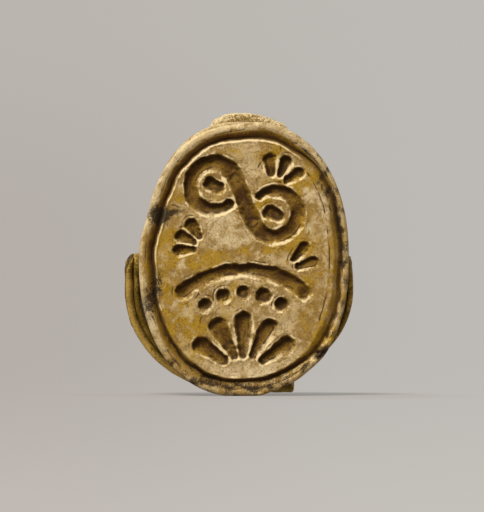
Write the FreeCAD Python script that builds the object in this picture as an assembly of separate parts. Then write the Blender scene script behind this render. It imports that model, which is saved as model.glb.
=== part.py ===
import FreeCAD
import Part
import math
import os

# Inscribed scarab on a swing hoop. Lengths are millimetres, angles are degrees, +Z is up.
# The origin is the middle of the inscribed face, which lies in the plane Y = 0 and looks
# along -Y. The head of the beetle is up, its back is towards +Y.

# Stone, inscribed base
stone_length = 22.0
stone_width = 16.7
plinth_thickness = 2.3
rim_rounding = 0.35
rear_rounding = 0.25
tail_flat_cut = 0.10
outline_exponent = 2.25
outline_points = 32

# Border groove and ornament strokes
rim_width = 0.62
border_width = 0.85
border_depth = 0.45
stroke_radius = 0.43

# Stone, beetle
flank_side_inset = 1.15
flank_end_inset = 1.50
flank_height = 2.3
stone_height = 9.3
back_groove_width = 0.34
back_groove_depth = 0.30
head_overhang = 0.70
head_width = 6.6
head_front_width = 4.6
head_front_drop = 0.42
head_height = 3.5
head_offset = 0.35
notch_radius = 0.26
eye_radius = 0.75
leg_width = 0.95
leg_rise = 0.30
threading_bore_radius = 0.70

# Swing hoop
pivot_drop_height = 0.50
pivot_depth = 4.40
hoop_lean = 20.0
left_hoop_gap = 1.013
right_hoop_gap = 0.96
hoop_straight_length = 1.95
strap_breadth = 2.40
outer_strap_thickness = 0.72
inner_strap_thickness = 0.60
lap_gap = 0.03
tongue_length = 4.10

# Pins, collars and rivets
pin_radius = 0.45
pin_setting_depth = 2.60
pin_setting_gap = 0.02
pin_running_gap = 0.04
pin_head_radius = 0.52
pin_head_height = 0.22
collar_radius = 0.95
collar_side_gap = 0.05
rivet_radius = 0.32
rivet_head_radius = 0.50
rivet_head_height = 0.10
rivet_head_lift = 0.04
rivet_angles = (200.0, 240.0)

# One overrun serves all cuts
overrun = 1.0

# Sizes that follow from those above
half_length = stone_length / 2
half_width = stone_width / 2
flank_half_length = half_length - flank_end_inset
flank_half_width = half_width - flank_side_inset
flank_top = plinth_thickness + flank_height
field_half_width = half_width - rim_width - border_width
field_half_length = half_length - rim_width - border_width
pivot_level = -pivot_drop_height
pivot = FreeCAD.Vector(0, pivot_depth, pivot_level)
lean = math.radians(hoop_lean)
reach_direction = FreeCAD.Vector(0, math.sin(lean), -math.cos(lean))
side_direction = FreeCAD.Vector(0, math.cos(lean), math.sin(lean))
half_breadth = strap_breadth / 2
lap_thickness = outer_strap_thickness + lap_gap
left_outer_x = -(flank_half_width + left_hoop_gap + inner_strap_thickness + lap_thickness)
right_outer_x = flank_half_width + right_hoop_gap + inner_strap_thickness
hoop_middle_x = (left_outer_x + right_outer_x) / 2
hoop_half_width = (right_outer_x - left_outer_x) / 2
stand_level = -half_length + tail_flat_cut
foot_reach = (pivot_level - stand_level - half_breadth * math.sin(lean)) / math.cos(lean)
hoop_half_height = foot_reach - hoop_straight_length
collar_seat_x = flank_half_width - back_groove_depth

ALONG_X = FreeCAD.Vector(1, 0, 0)
ALONG_Y = FreeCAD.Vector(0, 1, 0)
ALONG_Z = FreeCAD.Vector(0, 0, 1)


def oval_wire(a, b, depth, shift=0):
    """Closed superellipse |x/a|^n + |z/b|^n = 1 in the plane Y = depth, moved by shift in Z."""
    power = 2 / outline_exponent
    points = []
    for step in range(outline_points):
        angle = math.pi / 4 + 2 * math.pi * step / outline_points
        cosine, sine = math.cos(angle), math.sin(angle)
        x = math.copysign(abs(cosine) ** power, cosine) * a
        z = math.copysign(abs(sine) ** power, sine) * b
        points.append(FreeCAD.Vector(x, depth, z + shift))
    curve = Part.BSplineCurve()
    curve.interpolate(Points=points, PeriodicFlag=True)
    return Part.Wire([curve.toShape()])


def oval_loft(sections, smooth=True):
    """Solid through ovals given as (half width, half length, depth)."""
    wires = [oval_wire(a, b, depth) for a, b, depth in sections]
    return Part.makeLoft(wires, True, not smooth)


def box_between(low, high):
    size = high.sub(low)
    return Part.makeBox(size.x, size.y, size.z, low)


def rod(start, end, radius):
    """Round bar with ball ends from start to end."""
    run = end.sub(start)
    bar = Part.makeCylinder(radius, run.Length, start, run)
    return bar.fuse([Part.makeSphere(radius, start), Part.makeSphere(radius, end)])


def plinth():
    inset = rim_rounding
    rear = rear_rounding
    return oval_loft([
        (half_width - inset, half_length - inset, 0),
        (half_width - inset / 4, half_length - inset / 4, inset / 3),
        (half_width, half_length, inset),
        (half_width, half_length, plinth_thickness - rear),
        (half_width - rear, half_length - rear, plinth_thickness)], smooth=False)


# Profile of the rounded back: height share against size share, from the flanks to the crown
dome_shares = ((0.0, 1.0), (0.34, 0.95), (0.64, 0.80), (0.85, 0.59), (0.96, 0.37), (1.0, 0.20))

# Places along the back as shares of the flank's half length, up from the middle
waist_share = 0.22
neck_share = 0.74

# Width of the foremost edge of the head plate as a share of its front width
head_tip_share = 0.42


def flank(growth):
    """Upright side of the beetle between the plinth and the back, grown all round."""
    a = flank_half_width + growth
    b = flank_half_length + growth
    return oval_loft([(a, b, plinth_thickness - rear_rounding), (a, b, flank_top)], smooth=False)


def dome(pared):
    """Rounded back from the tail to the neck, its skin pared away by the given amount."""
    low, high = -flank_half_length, neck_share * flank_half_length
    a, b = flank_half_width, (high - low) / 2
    wires = []
    for height_share, size_share in dome_shares:
        depth = flank_top + height_share * (stone_height - pared - flank_top)
        wires.append(oval_wire(a * size_share - pared, b * size_share - pared, depth,
                               (high + low) / 2))
    cap = Part.makeLoft(wires, True, False)
    foot = Part.Face(wires[0]).extrude(FreeCAD.Vector(0, -flank_height, 0))
    return cap.fuse(foot)


def beetle_back():
    """Back with a groove across the waist and a line between the wing cases."""
    groove = back_groove_width / 2
    waist = waist_share * flank_half_length
    crown = stone_height + overrun
    line_window = box_between(FreeCAD.Vector(-groove, flank_top, -stone_length),
                              FreeCAD.Vector(groove, crown, waist))
    waist_window = box_between(FreeCAD.Vector(-stone_width, flank_top, waist - groove),
                               FreeCAD.Vector(stone_width, crown, waist + groove))
    skin = dome(0).cut(dome(back_groove_depth))
    return dome(0).cut(skin.common(line_window)).cut(skin.common(waist_window))


def head():
    """Shovel-shaped head plate with a notched front, and an eye at each side."""
    root = waist_share * flank_half_length
    front = half_length + head_overhang
    cheek = half_length - head_overhang
    side = head_width / 2
    nose = head_front_width / 2
    tip = nose * head_tip_share
    brow = front - head_front_drop
    low = plinth_thickness - rear_rounding
    top = plinth_thickness + head_height
    corners = [(-side, root), (side, root), (side, cheek), (nose, brow), (tip, front),
               (-tip, front), (-nose, brow), (-side, cheek)]
    points = [FreeCAD.Vector(x + head_offset, low, z) for x, z in corners]
    face = Part.Face(Part.makePolygon(points + points[:1]))
    plate = face.extrude(FreeCAD.Vector(0, top - low, 0))
    for x, z in ((-nose, brow), (0, front), (nose, brow)):
        start = FreeCAD.Vector(head_offset + x, low - overrun, z)
        plate = plate.cut(Part.makeCylinder(notch_radius, stone_height, start, ALONG_Y))
    slope_side = [FreeCAD.Vector(-stone_width, flank_top, front + overrun),
                  FreeCAD.Vector(-stone_width, top + overrun, front + overrun),
                  FreeCAD.Vector(-stone_width, top + overrun, neck_share * flank_half_length)]
    slope = Part.Face(Part.makePolygon(slope_side + slope_side[:1]))
    plate = plate.cut(slope.extrude(FreeCAD.Vector(2 * stone_width, 0, 0)))
    eye_z = neck_share * flank_half_length
    eyes = [Part.makeSphere(eye_radius, FreeCAD.Vector(head_offset + way * side, flank_top, eye_z))
            for way in (-1, 1)]
    return plate.fuse(eyes)


# Legs on each flank: ends as (height share of the flank, share of its half length)
leg_shares = (((0.90, 0.80), (0.20, 0.36)),
              ((0.90, 0.30), (0.10, 0.12)),
              ((0.10, -0.22), (0.90, -0.80)))


def legs():
    """Raised bands along the flanks, three a side."""
    band = flank(leg_rise)
    bars = []
    for high, low in leg_shares:
        start, end = [FreeCAD.Vector(-stone_width, plinth_thickness + y * flank_height,
                                     z * flank_half_length) for y, z in (high, low)]
        run = end.sub(start)
        across = run.cross(ALONG_X)
        across.normalize()
        across.multiply(leg_width / 2)
        corners = [start.add(across), end.add(across), end.sub(across), start.sub(across)]
        face = Part.Face(Part.makePolygon(corners + corners[:1]))
        bars.append(band.common(face.extrude(FreeCAD.Vector(2 * stone_width, 0, 0))))
    return bars


def border_groove():
    """Oval channel between the rim and the inner field."""
    wide = oval_wire(half_width - rim_width, half_length - rim_width, -overrun)
    narrow = oval_wire(field_half_width, field_half_length, -overrun)
    depth = FreeCAD.Vector(0, overrun + border_depth, 0)
    return Part.Face(wide).extrude(depth).cut(Part.Face(narrow).extrude(depth))


def field_point(share):
    return FreeCAD.Vector(share[0] * field_half_width, 0, share[1] * field_half_length)


def curved_stroke(middle, radius_share, first_angle, last_angle):
    """Round-bottomed stroke along an arc, angles counted from +X towards +Z."""
    radius = radius_share * field_half_width
    centre = field_point(middle)
    arc = Part.makeTorus(radius, stroke_radius, FreeCAD.Vector(0, 0, 0), ALONG_Z, -180, 180,
                         last_angle - first_angle)
    arc.rotate(FreeCAD.Vector(0, 0, 0), ALONG_Z, first_angle)
    arc.rotate(FreeCAD.Vector(0, 0, 0), ALONG_X, 90)
    arc.translate(centre)
    ends = []
    for angle in (first_angle, last_angle):
        turn = math.radians(angle)
        place = FreeCAD.Vector(radius * math.cos(turn), 0, radius * math.sin(turn))
        ends.append(Part.makeSphere(stroke_radius, centre.add(place)))
    return arc.fuse(ends)


# Ornament, in shares of the inner field's half width and half length
left_coil_share = (-0.34, 0.60)
right_coil_share = (0.36, 0.37)
coil_radius_share = 0.27
coil_turn = 290.0
seed_half_length_share = 0.055
canopy_middle_share = (0.0, -0.86)
canopy_radius_share = 1.06
canopy_half_angle = 41.0
bead_radius_share = 0.79
bead_angles = (56.0, 73.0, 90.0, 107.0, 124.0)
fan_middle_share = (0.0, -0.95)
fan_leaf_shares = ((32.0, 0.26, 0.58), (61.0, 0.22, 0.60), (90.0, 0.20, 0.60),
                   (119.0, 0.22, 0.60), (148.0, 0.26, 0.58))

# Sprays of short leaves between the larger forms: middle, and the angles of the leaves
spray_shares = (((0.35, 0.59), (30.0, 64.0, 98.0)),
                ((-0.42, 0.084), (125.0, 155.0, 185.0)),
                ((0.48, -0.095), (15.0, 50.0)))
spray_near_share = 0.17
spray_far_share = 0.33


def turned(middle, radius, angle):
    """Place at a radius share and an angle round a middle share."""
    turn = math.radians(angle)
    away = FreeCAD.Vector(math.cos(turn), 0, math.sin(turn)).multiply(radius * field_half_width)
    return field_point(middle).add(away)


def scroll():
    """S-scroll: two coils joined by the straight stroke that touches both."""
    across = field_point(right_coil_share).sub(field_point(left_coil_share))
    tilt = math.degrees(math.atan2(across.z, across.x))
    slope = math.degrees(math.asin(2 * coil_radius_share * field_half_width / across.Length))
    left_start, right_start = tilt + 90 - slope, tilt + 270 - slope
    link = rod(turned(left_coil_share, coil_radius_share, left_start),
               turned(right_coil_share, coil_radius_share, right_start), stroke_radius)
    coils = [curved_stroke(left_coil_share, coil_radius_share, left_start, left_start + coil_turn),
             curved_stroke(right_coil_share, coil_radius_share, right_start,
                           right_start + coil_turn)]
    seeds = [rod(turned(share, seed_half_length_share, tilt),
                 turned(share, seed_half_length_share, tilt + 180), stroke_radius)
             for share in (left_coil_share, right_coil_share)]
    return coils + [link] + seeds


def ornament():
    """Scroll above, beaded canopy in the middle, fan of leaves below, sprays between them."""
    strokes = scroll()
    strokes.append(curved_stroke(canopy_middle_share, canopy_radius_share,
                                 90 - canopy_half_angle, 90 + canopy_half_angle))
    for angle in bead_angles:
        bead = turned(canopy_middle_share, bead_radius_share, angle)
        strokes.append(Part.makeSphere(stroke_radius, bead))
    for angle, near, far in fan_leaf_shares:
        strokes.append(rod(turned(fan_middle_share, near, angle),
                           turned(fan_middle_share, far, angle), stroke_radius))
    for middle, angles in spray_shares:
        strokes += [rod(turned(middle, spray_near_share, angle),
                        turned(middle, spray_far_share, angle), stroke_radius)
                    for angle in angles]
    return strokes


def pin_holes():
    radius = pin_radius + pin_setting_gap
    holes = []
    for way in (-1, 1):
        inner = flank_half_width - pin_setting_depth
        start = FreeCAD.Vector(way * inner, pivot_depth, pivot_level)
        direction = FreeCAD.Vector(way, 0, 0)
        holes.append(Part.makeCylinder(radius, pin_setting_depth + overrun, start, direction))
    return holes


def collar_seats():
    """Flat spot on each flank under its collar."""
    seats = []
    for way in (-1, 1):
        start = FreeCAD.Vector(way * collar_seat_x, pivot_depth, pivot_level)
        direction = FreeCAD.Vector(way, 0, 0)
        seats.append(Part.makeCylinder(collar_radius + leg_rise, overrun, start, direction))
    return seats


def scarab_body():
    stone = plinth()
    for form in [flank(0), beetle_back(), head()] + legs():
        stone = stone.fuse(form)
    tail_slice = box_between(FreeCAD.Vector(-stone_width, -overrun, -stone_length),
                             FreeCAD.Vector(stone_width, stone_height, -half_length + tail_flat_cut))
    thread_start = FreeCAD.Vector(0, pivot_depth, -stone_length)
    threading_bore = Part.makeCylinder(threading_bore_radius, 2 * stone_length, thread_start, ALONG_Z)
    cuts = [tail_slice, threading_bore, border_groove()]
    cuts += pin_holes() + collar_seats() + ornament()
    for cut in cuts:
        stone = stone.cut(cut)
    return stone


def hoop_point(x, reach):
    """Place in the hoop's own plane: x across, reach away from the pivot line."""
    return FreeCAD.Vector(x, 0, 0).add(pivot).add(FreeCAD.Vector(reach_direction).multiply(reach))


def hoop_arc(a, b, first, last):
    """Quarter of the hoop's oval; the angle is 0 at the right and 90 at the foot."""
    if a >= b:
        long_axis, major, minor = hoop_point(hoop_middle_x + a, hoop_straight_length), a, b
        across = hoop_point(hoop_middle_x, hoop_straight_length + b)
        shift = 0
    else:
        long_axis, major, minor = hoop_point(hoop_middle_x, hoop_straight_length + b), b, a
        across = hoop_point(hoop_middle_x - a, hoop_straight_length)
        shift = -90
    centre = hoop_point(hoop_middle_x, hoop_straight_length)
    oval = Part.Ellipse(long_axis, across, centre)
    return Part.Arc(oval, math.radians(first + shift), math.radians(last + shift)).toShape()


def segment(start, end):
    return Part.LineSegment(start, end).toShape()


def widen(edges):
    """Strap solid from its outline in the hoop's plane, carried across the strap's breadth."""
    wire = Part.Wire(Part.__sortEdges__(edges))
    face = Part.Face(wire)
    solid = face.extrude(FreeCAD.Vector(side_direction).multiply(strap_breadth))
    solid.translate(FreeCAD.Vector(side_direction).multiply(-half_breadth))
    return solid


def round_ear(strap, x_side):
    """Rounds the end of a strap above the pivot line to half its breadth."""
    low = x_side - outer_strap_thickness - overrun
    length = 2 * (outer_strap_thickness + overrun)
    corner = FreeCAD.Vector(side_direction).multiply(-half_breadth - overrun)
    start = hoop_point(low, 0).add(corner)
    block = Part.makeBox(length, strap_breadth + 2 * overrun, half_breadth + overrun)
    block.rotate(FreeCAD.Vector(0, 0, 0), ALONG_X, hoop_lean)
    block.translate(start)
    disc = Part.makeCylinder(half_breadth, length, hoop_point(low, 0), ALONG_X)
    return strap.cut(block.cut(disc))


def inner_strap():
    """Stirrup from the right pivot, round the foot, up to the left pivot."""
    t = inner_strap_thickness
    top = -half_breadth
    right = hoop_half_width
    left = hoop_half_width - lap_thickness
    height = hoop_half_height - lap_thickness
    middle = hoop_middle_x
    start_reach = hoop_straight_length
    edges = [
        segment(hoop_point(middle + right, top), hoop_point(middle + right, start_reach)),
        hoop_arc(right, height, 0, 90),
        hoop_arc(left, height, 90, 180),
        segment(hoop_point(middle - left, start_reach), hoop_point(middle - left, top)),
        segment(hoop_point(middle - left, top), hoop_point(middle - left + t, top)),
        segment(hoop_point(middle - left + t, top), hoop_point(middle - left + t, start_reach)),
        hoop_arc(left - t, height - t, 90, 180),
        hoop_arc(right - t, height - t, 0, 90),
        segment(hoop_point(middle + right - t, start_reach), hoop_point(middle + right - t, top)),
        segment(hoop_point(middle + right - t, top), hoop_point(middle + right, top))]
    strap = widen(edges)
    strap = round_ear(strap, middle + right)
    strap = round_ear(strap, middle - left)
    return cut_fastener_holes(strap)


def outer_strap():
    """Strap from the left pivot round to the foot, ending in a straight tongue."""
    t = outer_strap_thickness
    top = -half_breadth
    a, b = hoop_half_width, hoop_half_height
    middle = hoop_middle_x
    foot = hoop_straight_length + b
    tongue_end = middle + tongue_length
    tip = Part.Arc(hoop_point(tongue_end, foot), hoop_point(tongue_end + t / 2, foot - t / 2),
                   hoop_point(tongue_end, foot - t)).toShape()
    edges = [
        segment(hoop_point(middle - a, top), hoop_point(middle - a, hoop_straight_length)),
        hoop_arc(a, b, 90, 180),
        segment(hoop_point(middle, foot), hoop_point(tongue_end, foot)),
        tip,
        segment(hoop_point(tongue_end, foot - t), hoop_point(middle, foot - t)),
        hoop_arc(a - t, b - t, 90, 180),
        segment(hoop_point(middle - a + t, hoop_straight_length), hoop_point(middle - a + t, top)),
        segment(hoop_point(middle - a + t, top), hoop_point(middle - a, top))]
    strap = widen(edges)
    strap = round_ear(strap, middle - a)
    return cut_fastener_holes(strap)


def cut_fastener_holes(strap):
    """Pivot holes with their countersinks, and the rivet holes of the lap."""
    for way, face_x in ((-1, left_outer_x), (1, right_outer_x)):
        strap = strap.cut(pin_solid(way, face_x, pin_running_gap, overrun))
    for angle in rivet_angles:
        strap = strap.cut(rivet_shank(angle, overrun))
    return strap


def pin_solid(way, face_x, gap, extra):
    """Pin with a flush countersunk head, grown all round by gap for its hole."""
    inner = way * (flank_half_width - pin_setting_depth)
    start = FreeCAD.Vector(inner, pivot_depth, pivot_level)
    direction = FreeCAD.Vector(way, 0, 0)
    length = abs(face_x - inner)
    shank = Part.makeCylinder(pin_radius + gap, length + extra, start, direction)
    head_start = start.add(FreeCAD.Vector(way * (length - pin_head_height), 0, 0))
    cone = Part.makeCone(pin_radius + gap, pin_head_radius + gap, pin_head_height, head_start, direction)
    return shank.fuse(cone)


def collar(way):
    """Spacer between the flank of the stone and the strap."""
    inner = way * collar_seat_x
    if way > 0:
        outer = right_outer_x - inner_strap_thickness - collar_side_gap
    else:
        outer = left_outer_x + lap_thickness + inner_strap_thickness + collar_side_gap
    start = FreeCAD.Vector(inner, pivot_depth, pivot_level)
    direction = FreeCAD.Vector(way, 0, 0)
    length = abs(outer - inner)
    ring = Part.makeCylinder(collar_radius, length, start, direction)
    hole = Part.makeCylinder(pin_radius + pin_setting_gap, length, start, direction)
    return ring.cut(hole)


def rivet_frame(angle):
    """Place on the outer strap's outer face at an angle of its oval, and the way inwards."""
    turn = math.radians(angle)
    a, b = hoop_half_width, hoop_half_height
    x = a * math.cos(turn)
    reach = -b * math.sin(turn)
    place = hoop_point(hoop_middle_x + x, hoop_straight_length + reach)
    steep = FreeCAD.Vector(reach_direction).multiply(reach / (b * b))
    inwards = FreeCAD.Vector(-x / (a * a), 0, 0).sub(steep)
    inwards.normalize()
    return place, inwards


def rivet_shank(angle, extra):
    place, inwards = rivet_frame(angle)
    start = place.sub(FreeCAD.Vector(inwards).multiply(extra))
    length = lap_thickness + inner_strap_thickness + 2 * extra
    return Part.makeCylinder(rivet_radius, length, start, inwards)


def rivet_head(place, outwards):
    """Low domed head, a slice of a ball seated on the strap."""
    r, h = rivet_head_radius, rivet_head_height
    ball_radius = (r * r + h * h) / (2 * h)
    centre = place.sub(FreeCAD.Vector(outwards).multiply(ball_radius - h))
    ball = Part.makeSphere(ball_radius, centre)
    keep = Part.makeCylinder(2 * r, 2 * h, place, outwards)
    return ball.common(keep)


def lap_rivet(angle):
    place, inwards = rivet_frame(angle)
    outwards = FreeCAD.Vector(inwards).multiply(-1)
    depth = lap_thickness + inner_strap_thickness
    far = place.add(FreeCAD.Vector(inwards).multiply(depth + rivet_head_lift))
    shank = rivet_shank(angle, rivet_head_lift)
    return shank.fuse([rivet_head(place, outwards), rivet_head(far, inwards)])


def pieces():
    return {
        "scarab_body": scarab_body(),
        "left_pivot_pin": pin_solid(-1, left_outer_x, 0, 0),
        "right_pivot_pin": pin_solid(1, right_outer_x, 0, 0),
        "left_collar": collar(-1),
        "right_collar": collar(1),
        "hoop_inner_strap": inner_strap(),
        "hoop_outer_strap": outer_strap(),
        "upper_lap_rivet": lap_rivet(rivet_angles[0]),
        "lower_lap_rivet": lap_rivet(rivet_angles[1])}


def main():
    os.makedirs("parts", exist_ok=True)
    for name, shape in pieces().items():
        shape.exportStep("parts/" + name + ".step")
        box = shape.BoundBox
        print("%-18s valid %s solids %d volume %.2f x %.2f..%.2f y %.2f..%.2f z %.2f..%.2f" % (
            name, shape.isValid(), len(shape.Solids), shape.Volume,
            box.XMin, box.XMax, box.YMin, box.YMax, box.ZMin, box.ZMax))


if __name__ == "__main__":
    main()
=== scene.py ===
"""Inscribed scarab on a swing hoop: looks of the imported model, in metres, in the model's frame.

The inscribed face lies in the plane Y = 0 and looks along -Y, the head of the beetle is up.
Shapes are worked out in millimetres and written to the meshes in metres.
"""

import math

import bpy
import numpy as np
from bpy.props import FloatProperty, FloatVectorProperty, IntProperty, PointerProperty
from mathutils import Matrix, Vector


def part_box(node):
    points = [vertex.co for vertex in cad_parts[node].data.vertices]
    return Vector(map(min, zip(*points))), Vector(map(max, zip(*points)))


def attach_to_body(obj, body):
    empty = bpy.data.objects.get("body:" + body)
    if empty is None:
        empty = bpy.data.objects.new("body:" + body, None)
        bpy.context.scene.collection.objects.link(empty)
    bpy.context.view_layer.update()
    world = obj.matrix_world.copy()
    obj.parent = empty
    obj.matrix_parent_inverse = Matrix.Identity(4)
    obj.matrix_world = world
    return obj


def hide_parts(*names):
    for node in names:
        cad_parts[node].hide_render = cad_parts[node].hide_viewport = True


bl_info = {
    "name": "Inscribed scarab",
    "version": (1, 0, 0),
    "blender": (4, 5, 0),
    "location": "3D View > Sidebar > Scarab",
    "description": "Dresses the packed scarab and its swing hoop",
    "category": "Object",
}

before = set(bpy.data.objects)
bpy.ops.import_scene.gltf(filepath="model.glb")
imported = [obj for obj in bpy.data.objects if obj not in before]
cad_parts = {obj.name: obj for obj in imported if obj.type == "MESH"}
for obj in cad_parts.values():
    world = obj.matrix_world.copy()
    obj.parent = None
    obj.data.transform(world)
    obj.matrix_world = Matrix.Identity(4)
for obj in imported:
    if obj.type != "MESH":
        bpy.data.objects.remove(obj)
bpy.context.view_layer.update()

MM = 0.001
SEED = 20260


def node_box(name):
    """Lowest and highest corner of a node of the frame, in millimetres."""
    low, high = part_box(name)
    return np.array(low) / MM, np.array(high) / MM


STONE_LOW, STONE_HIGH = node_box("scarab_body")
OUTER_LOW = node_box("hoop_outer_strap")[0]
INNER_HIGH = node_box("hoop_inner_strap")[1]
PIVOT_LOW, PIVOT_HIGH = node_box("left_pivot_pin")

# Stone
HALF_WIDTH = STONE_HIGH[0]
STAND_LEVEL = STONE_LOW[2]
TAIL_CUT = 0.10
HALF_LENGTH = TAIL_CUT - STAND_LEVEL
OUTLINE_POWER = 2.25
PLINTH = 2.3
FLANK_SIDE_INSET = 1.15
FLANK_END_INSET = 1.50
FLANK_TOP = 4.6
CROWN = STONE_HIGH[1]
FLANK_X = HALF_WIDTH - FLANK_SIDE_INSET
FLANK_Z = HALF_LENGTH - FLANK_END_INSET
RIM = 0.62
BORDER = 0.85
FIELD_X = HALF_WIDTH - RIM - BORDER
FIELD_Z = HALF_LENGTH - RIM - BORDER

# Hoop
PIVOT = (PIVOT_LOW + PIVOT_HIGH) / 2
LEAN = math.radians(20)
REACH_WAY = np.array((0.0, math.sin(LEAN), -math.cos(LEAN)))
SIDE_WAY = np.array((0.0, math.cos(LEAN), math.sin(LEAN)))
STRAIGHT = 1.95
HALF_BREADTH = 1.2
LEFT_EAR = 0.90
CORNER_HEIGHT = 1.37
CORNER_DEPTH = 1.14
RIGHT_EAR = 0.66
OUTER_THICKNESS = 0.748
TIP = 0.36
INNER_THICKNESS = 0.60
LAP = 0.75
TONGUE = 4.10
HOOP_X = (OUTER_LOW[0] + INNER_HIGH[0]) / 2
HOOP_A = (INNER_HIGH[0] - OUTER_LOW[0]) / 2
FOOT_REACH = (PIVOT[2] - STAND_LEVEL - HALF_BREADTH * math.sin(LEAN)) / math.cos(LEAN)
HOOP_B = FOOT_REACH - STRAIGHT


def linear(red, green, blue):
    """Scene linear RGBA of a colour given as 8 bit sRGB."""
    share = np.array((red, green, blue)) / 255
    low = share / 12.92
    high = ((share + 0.055) / 1.055) ** 2.4
    return tuple(float(c) for c in np.where(share <= 0.04045, low, high)) + (1.0,)


def colour_property(name, description, red, green, blue):
    return FloatVectorProperty(name=name, description=description, subtype="COLOR", size=4,
                               min=0, max=1, default=linear(red, green, blue))


class StoneSettings(bpy.types.PropertyGroup):
    """Sizes in millimetres and colours of the carved stone."""

    face_cells: IntProperty(
        name="Face cells", description="Mesh cells across the inscribed face", default=278,
        min=40, max=300)
    stroke_width: FloatProperty(
        name="Stroke width", description="Width of the carved strokes, in mm", default=1.18,
        min=0.2, max=2)
    stroke_depth: FloatProperty(
        name="Stroke depth", description="Depth of the carved strokes, in mm", default=0.62,
        min=0.1, max=1)
    border_depth: FloatProperty(
        name="Border depth", description="Depth of the oval border groove, in mm", default=0.55,
        min=0.1, max=1)
    relief: FloatProperty(
        name="Relief", description="Height of the swells of the worn surfaces, in mm",
        default=0.05, min=0, max=0.3)
    cream: colour_property("Cream", "Worn pale stone", 187, 164, 120)
    ochre: colour_property("Ochre", "Warm yellow stain", 149, 114, 18)
    buff: colour_property("Buff", "Grey-buff stone between the stains", 136, 105, 48)
    brown: colour_property("Brown", "Dirt in the cuts", 82, 52, 12)
    deep: colour_property("Deep", "Dirt in the narrowest lines", 54, 34, 10)
    # Black is also laid as painted shade on the right side and bottom of the rim
    black: colour_property("Black", "Hard dark crust", 36, 24, 12)
    # The lip colour is rubbed wear on standing edges and also a painted highlight on edges facing
    # the lamp
    lip_and_highlight: colour_property("Lip_And_Highlight", "Freshly rubbed edges", 224, 200, 150)


class HoopSettings(bpy.types.PropertyGroup):
    """Sizes in millimetres and colours of the metal."""

    hammer_depth: FloatProperty(
        name="Hammer depth", description="Depth of the hammer marks, in mm", default=0.02,
        min=0, max=0.1)
    bright: colour_property("Bright", "Rubbed metal", 198, 162, 80)
    patina: colour_property("Patina", "Olive film on the metal", 124, 96, 28)
    # Grime is laid in the pits of the metal, and more of it where the film and the painted shade
    # are
    grime: colour_property("Grime", "Dirt in the corners of the metal", 40, 30, 8)


class StageSettings(bpy.types.PropertyGroup):
    """Camera, light and floor."""

    eye_distance: FloatProperty(
        name="Eye distance", description="From the camera to the inscribed face",
        default=0.6, min=0.1, max=5, subtype="DISTANCE", unit="LENGTH")
    lens: FloatProperty(
        name="Lens", description="Focal length in mm", default=531.2, min=50, max=1000)
    key_power: FloatProperty(
        name="Key power", description="Power of the large lamp above", default=4.4, min=0,
        max=10, subtype="POWER", unit="POWER")
    sky_strength: FloatProperty(
        name="Sky strength", description="Strength of the soft light all round", default=0.50,
        min=0, max=3)
    paper: colour_property("Paper", "Pale floor", 158, 152, 146)


SETTINGS = {"scarab_stone": StoneSettings, "scarab_hoop": HoopSettings,
            "scarab_stage": StageSettings}


# Meshes from grids


def grid_faces(rows, columns, wrap):
    """Quads of a grid of rows x columns points, joined to the first column when wrap is set."""
    across = columns if wrap else columns - 1
    row, column = np.meshgrid(np.arange(rows - 1), np.arange(across), indexing="ij")
    right = (column + 1) % columns
    return np.stack([row * columns + column, row * columns + right,
                     (row + 1) * columns + right, (row + 1) * columns + column],
                    axis=-1).reshape(-1, 4)


def fan_faces(ring, centre):
    """Triangles from each side of a closed ring of point numbers to one centre point."""
    return np.stack([ring, np.roll(ring, -1), np.full(len(ring), centre)], axis=-1)


def build_mesh(name, points, quads, triangles=None):
    """Smooth-shaded mesh object from points in millimetres and arrays of faces."""
    mesh = bpy.data.meshes.new(name)
    groups = [quads] if triangles is None else [quads, triangles]
    corners = np.concatenate([group.ravel() for group in groups])
    sizes = np.concatenate([np.full(len(group), group.shape[1]) for group in groups])
    starts = np.concatenate([[0], np.cumsum(sizes)[:-1]])
    mesh.vertices.add(len(points))
    mesh.vertices.foreach_set("co", (points * MM).astype(np.float32).ravel())
    mesh.loops.add(len(corners))
    mesh.loops.foreach_set("vertex_index", corners.astype(np.int32))
    mesh.polygons.add(len(sizes))
    mesh.polygons.foreach_set("loop_start", starts.astype(np.int32))
    mesh.polygons.foreach_set("use_smooth", np.ones(len(sizes), dtype=bool))
    mesh.update(calc_edges=True)
    mesh.validate()
    piece = bpy.data.objects.new(name, mesh)
    bpy.context.scene.collection.objects.link(piece)
    return piece


def store_mask(piece, name, values, rest=0.0):
    """Writes one number per point as an attribute that the materials read.

    Points past the last value, such as the tips of a closed tube, get the number rest.
    """
    filled = np.full(len(piece.data.vertices), rest)
    filled[:np.size(values)] = np.clip(values, -10, 10).ravel()
    layer = piece.data.attributes.new(name, "FLOAT", "POINT")
    layer.data.foreach_set("value", filled.astype(np.float32))


def closed_tube(name, rings, tips=None, flip=False):
    """Closed mesh from rows of rings, with a fan from each end ring to a tip.

    Where no tips are given they are the middles of the end rings. flip turns the faces over.
    """
    rows, sides = rings.shape[:2]
    points = rings.reshape(-1, 3)
    if tips is None:
        tips = np.stack([rings[0].mean(axis=0), rings[-1].mean(axis=0)])
    total = len(points)
    order = -1 if flip else 1
    ring = np.arange(sides)
    ends = np.concatenate([fan_faces(ring, total)[:, ::-1],
                           fan_faces(ring + total - sides, total + 1)])
    return build_mesh(name, np.concatenate([points, tips]),
                      grid_faces(rows, sides, True)[:, ::order], ends[:, ::order])


# Noise and blends used by the shapes

WAVES = 14


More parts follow.
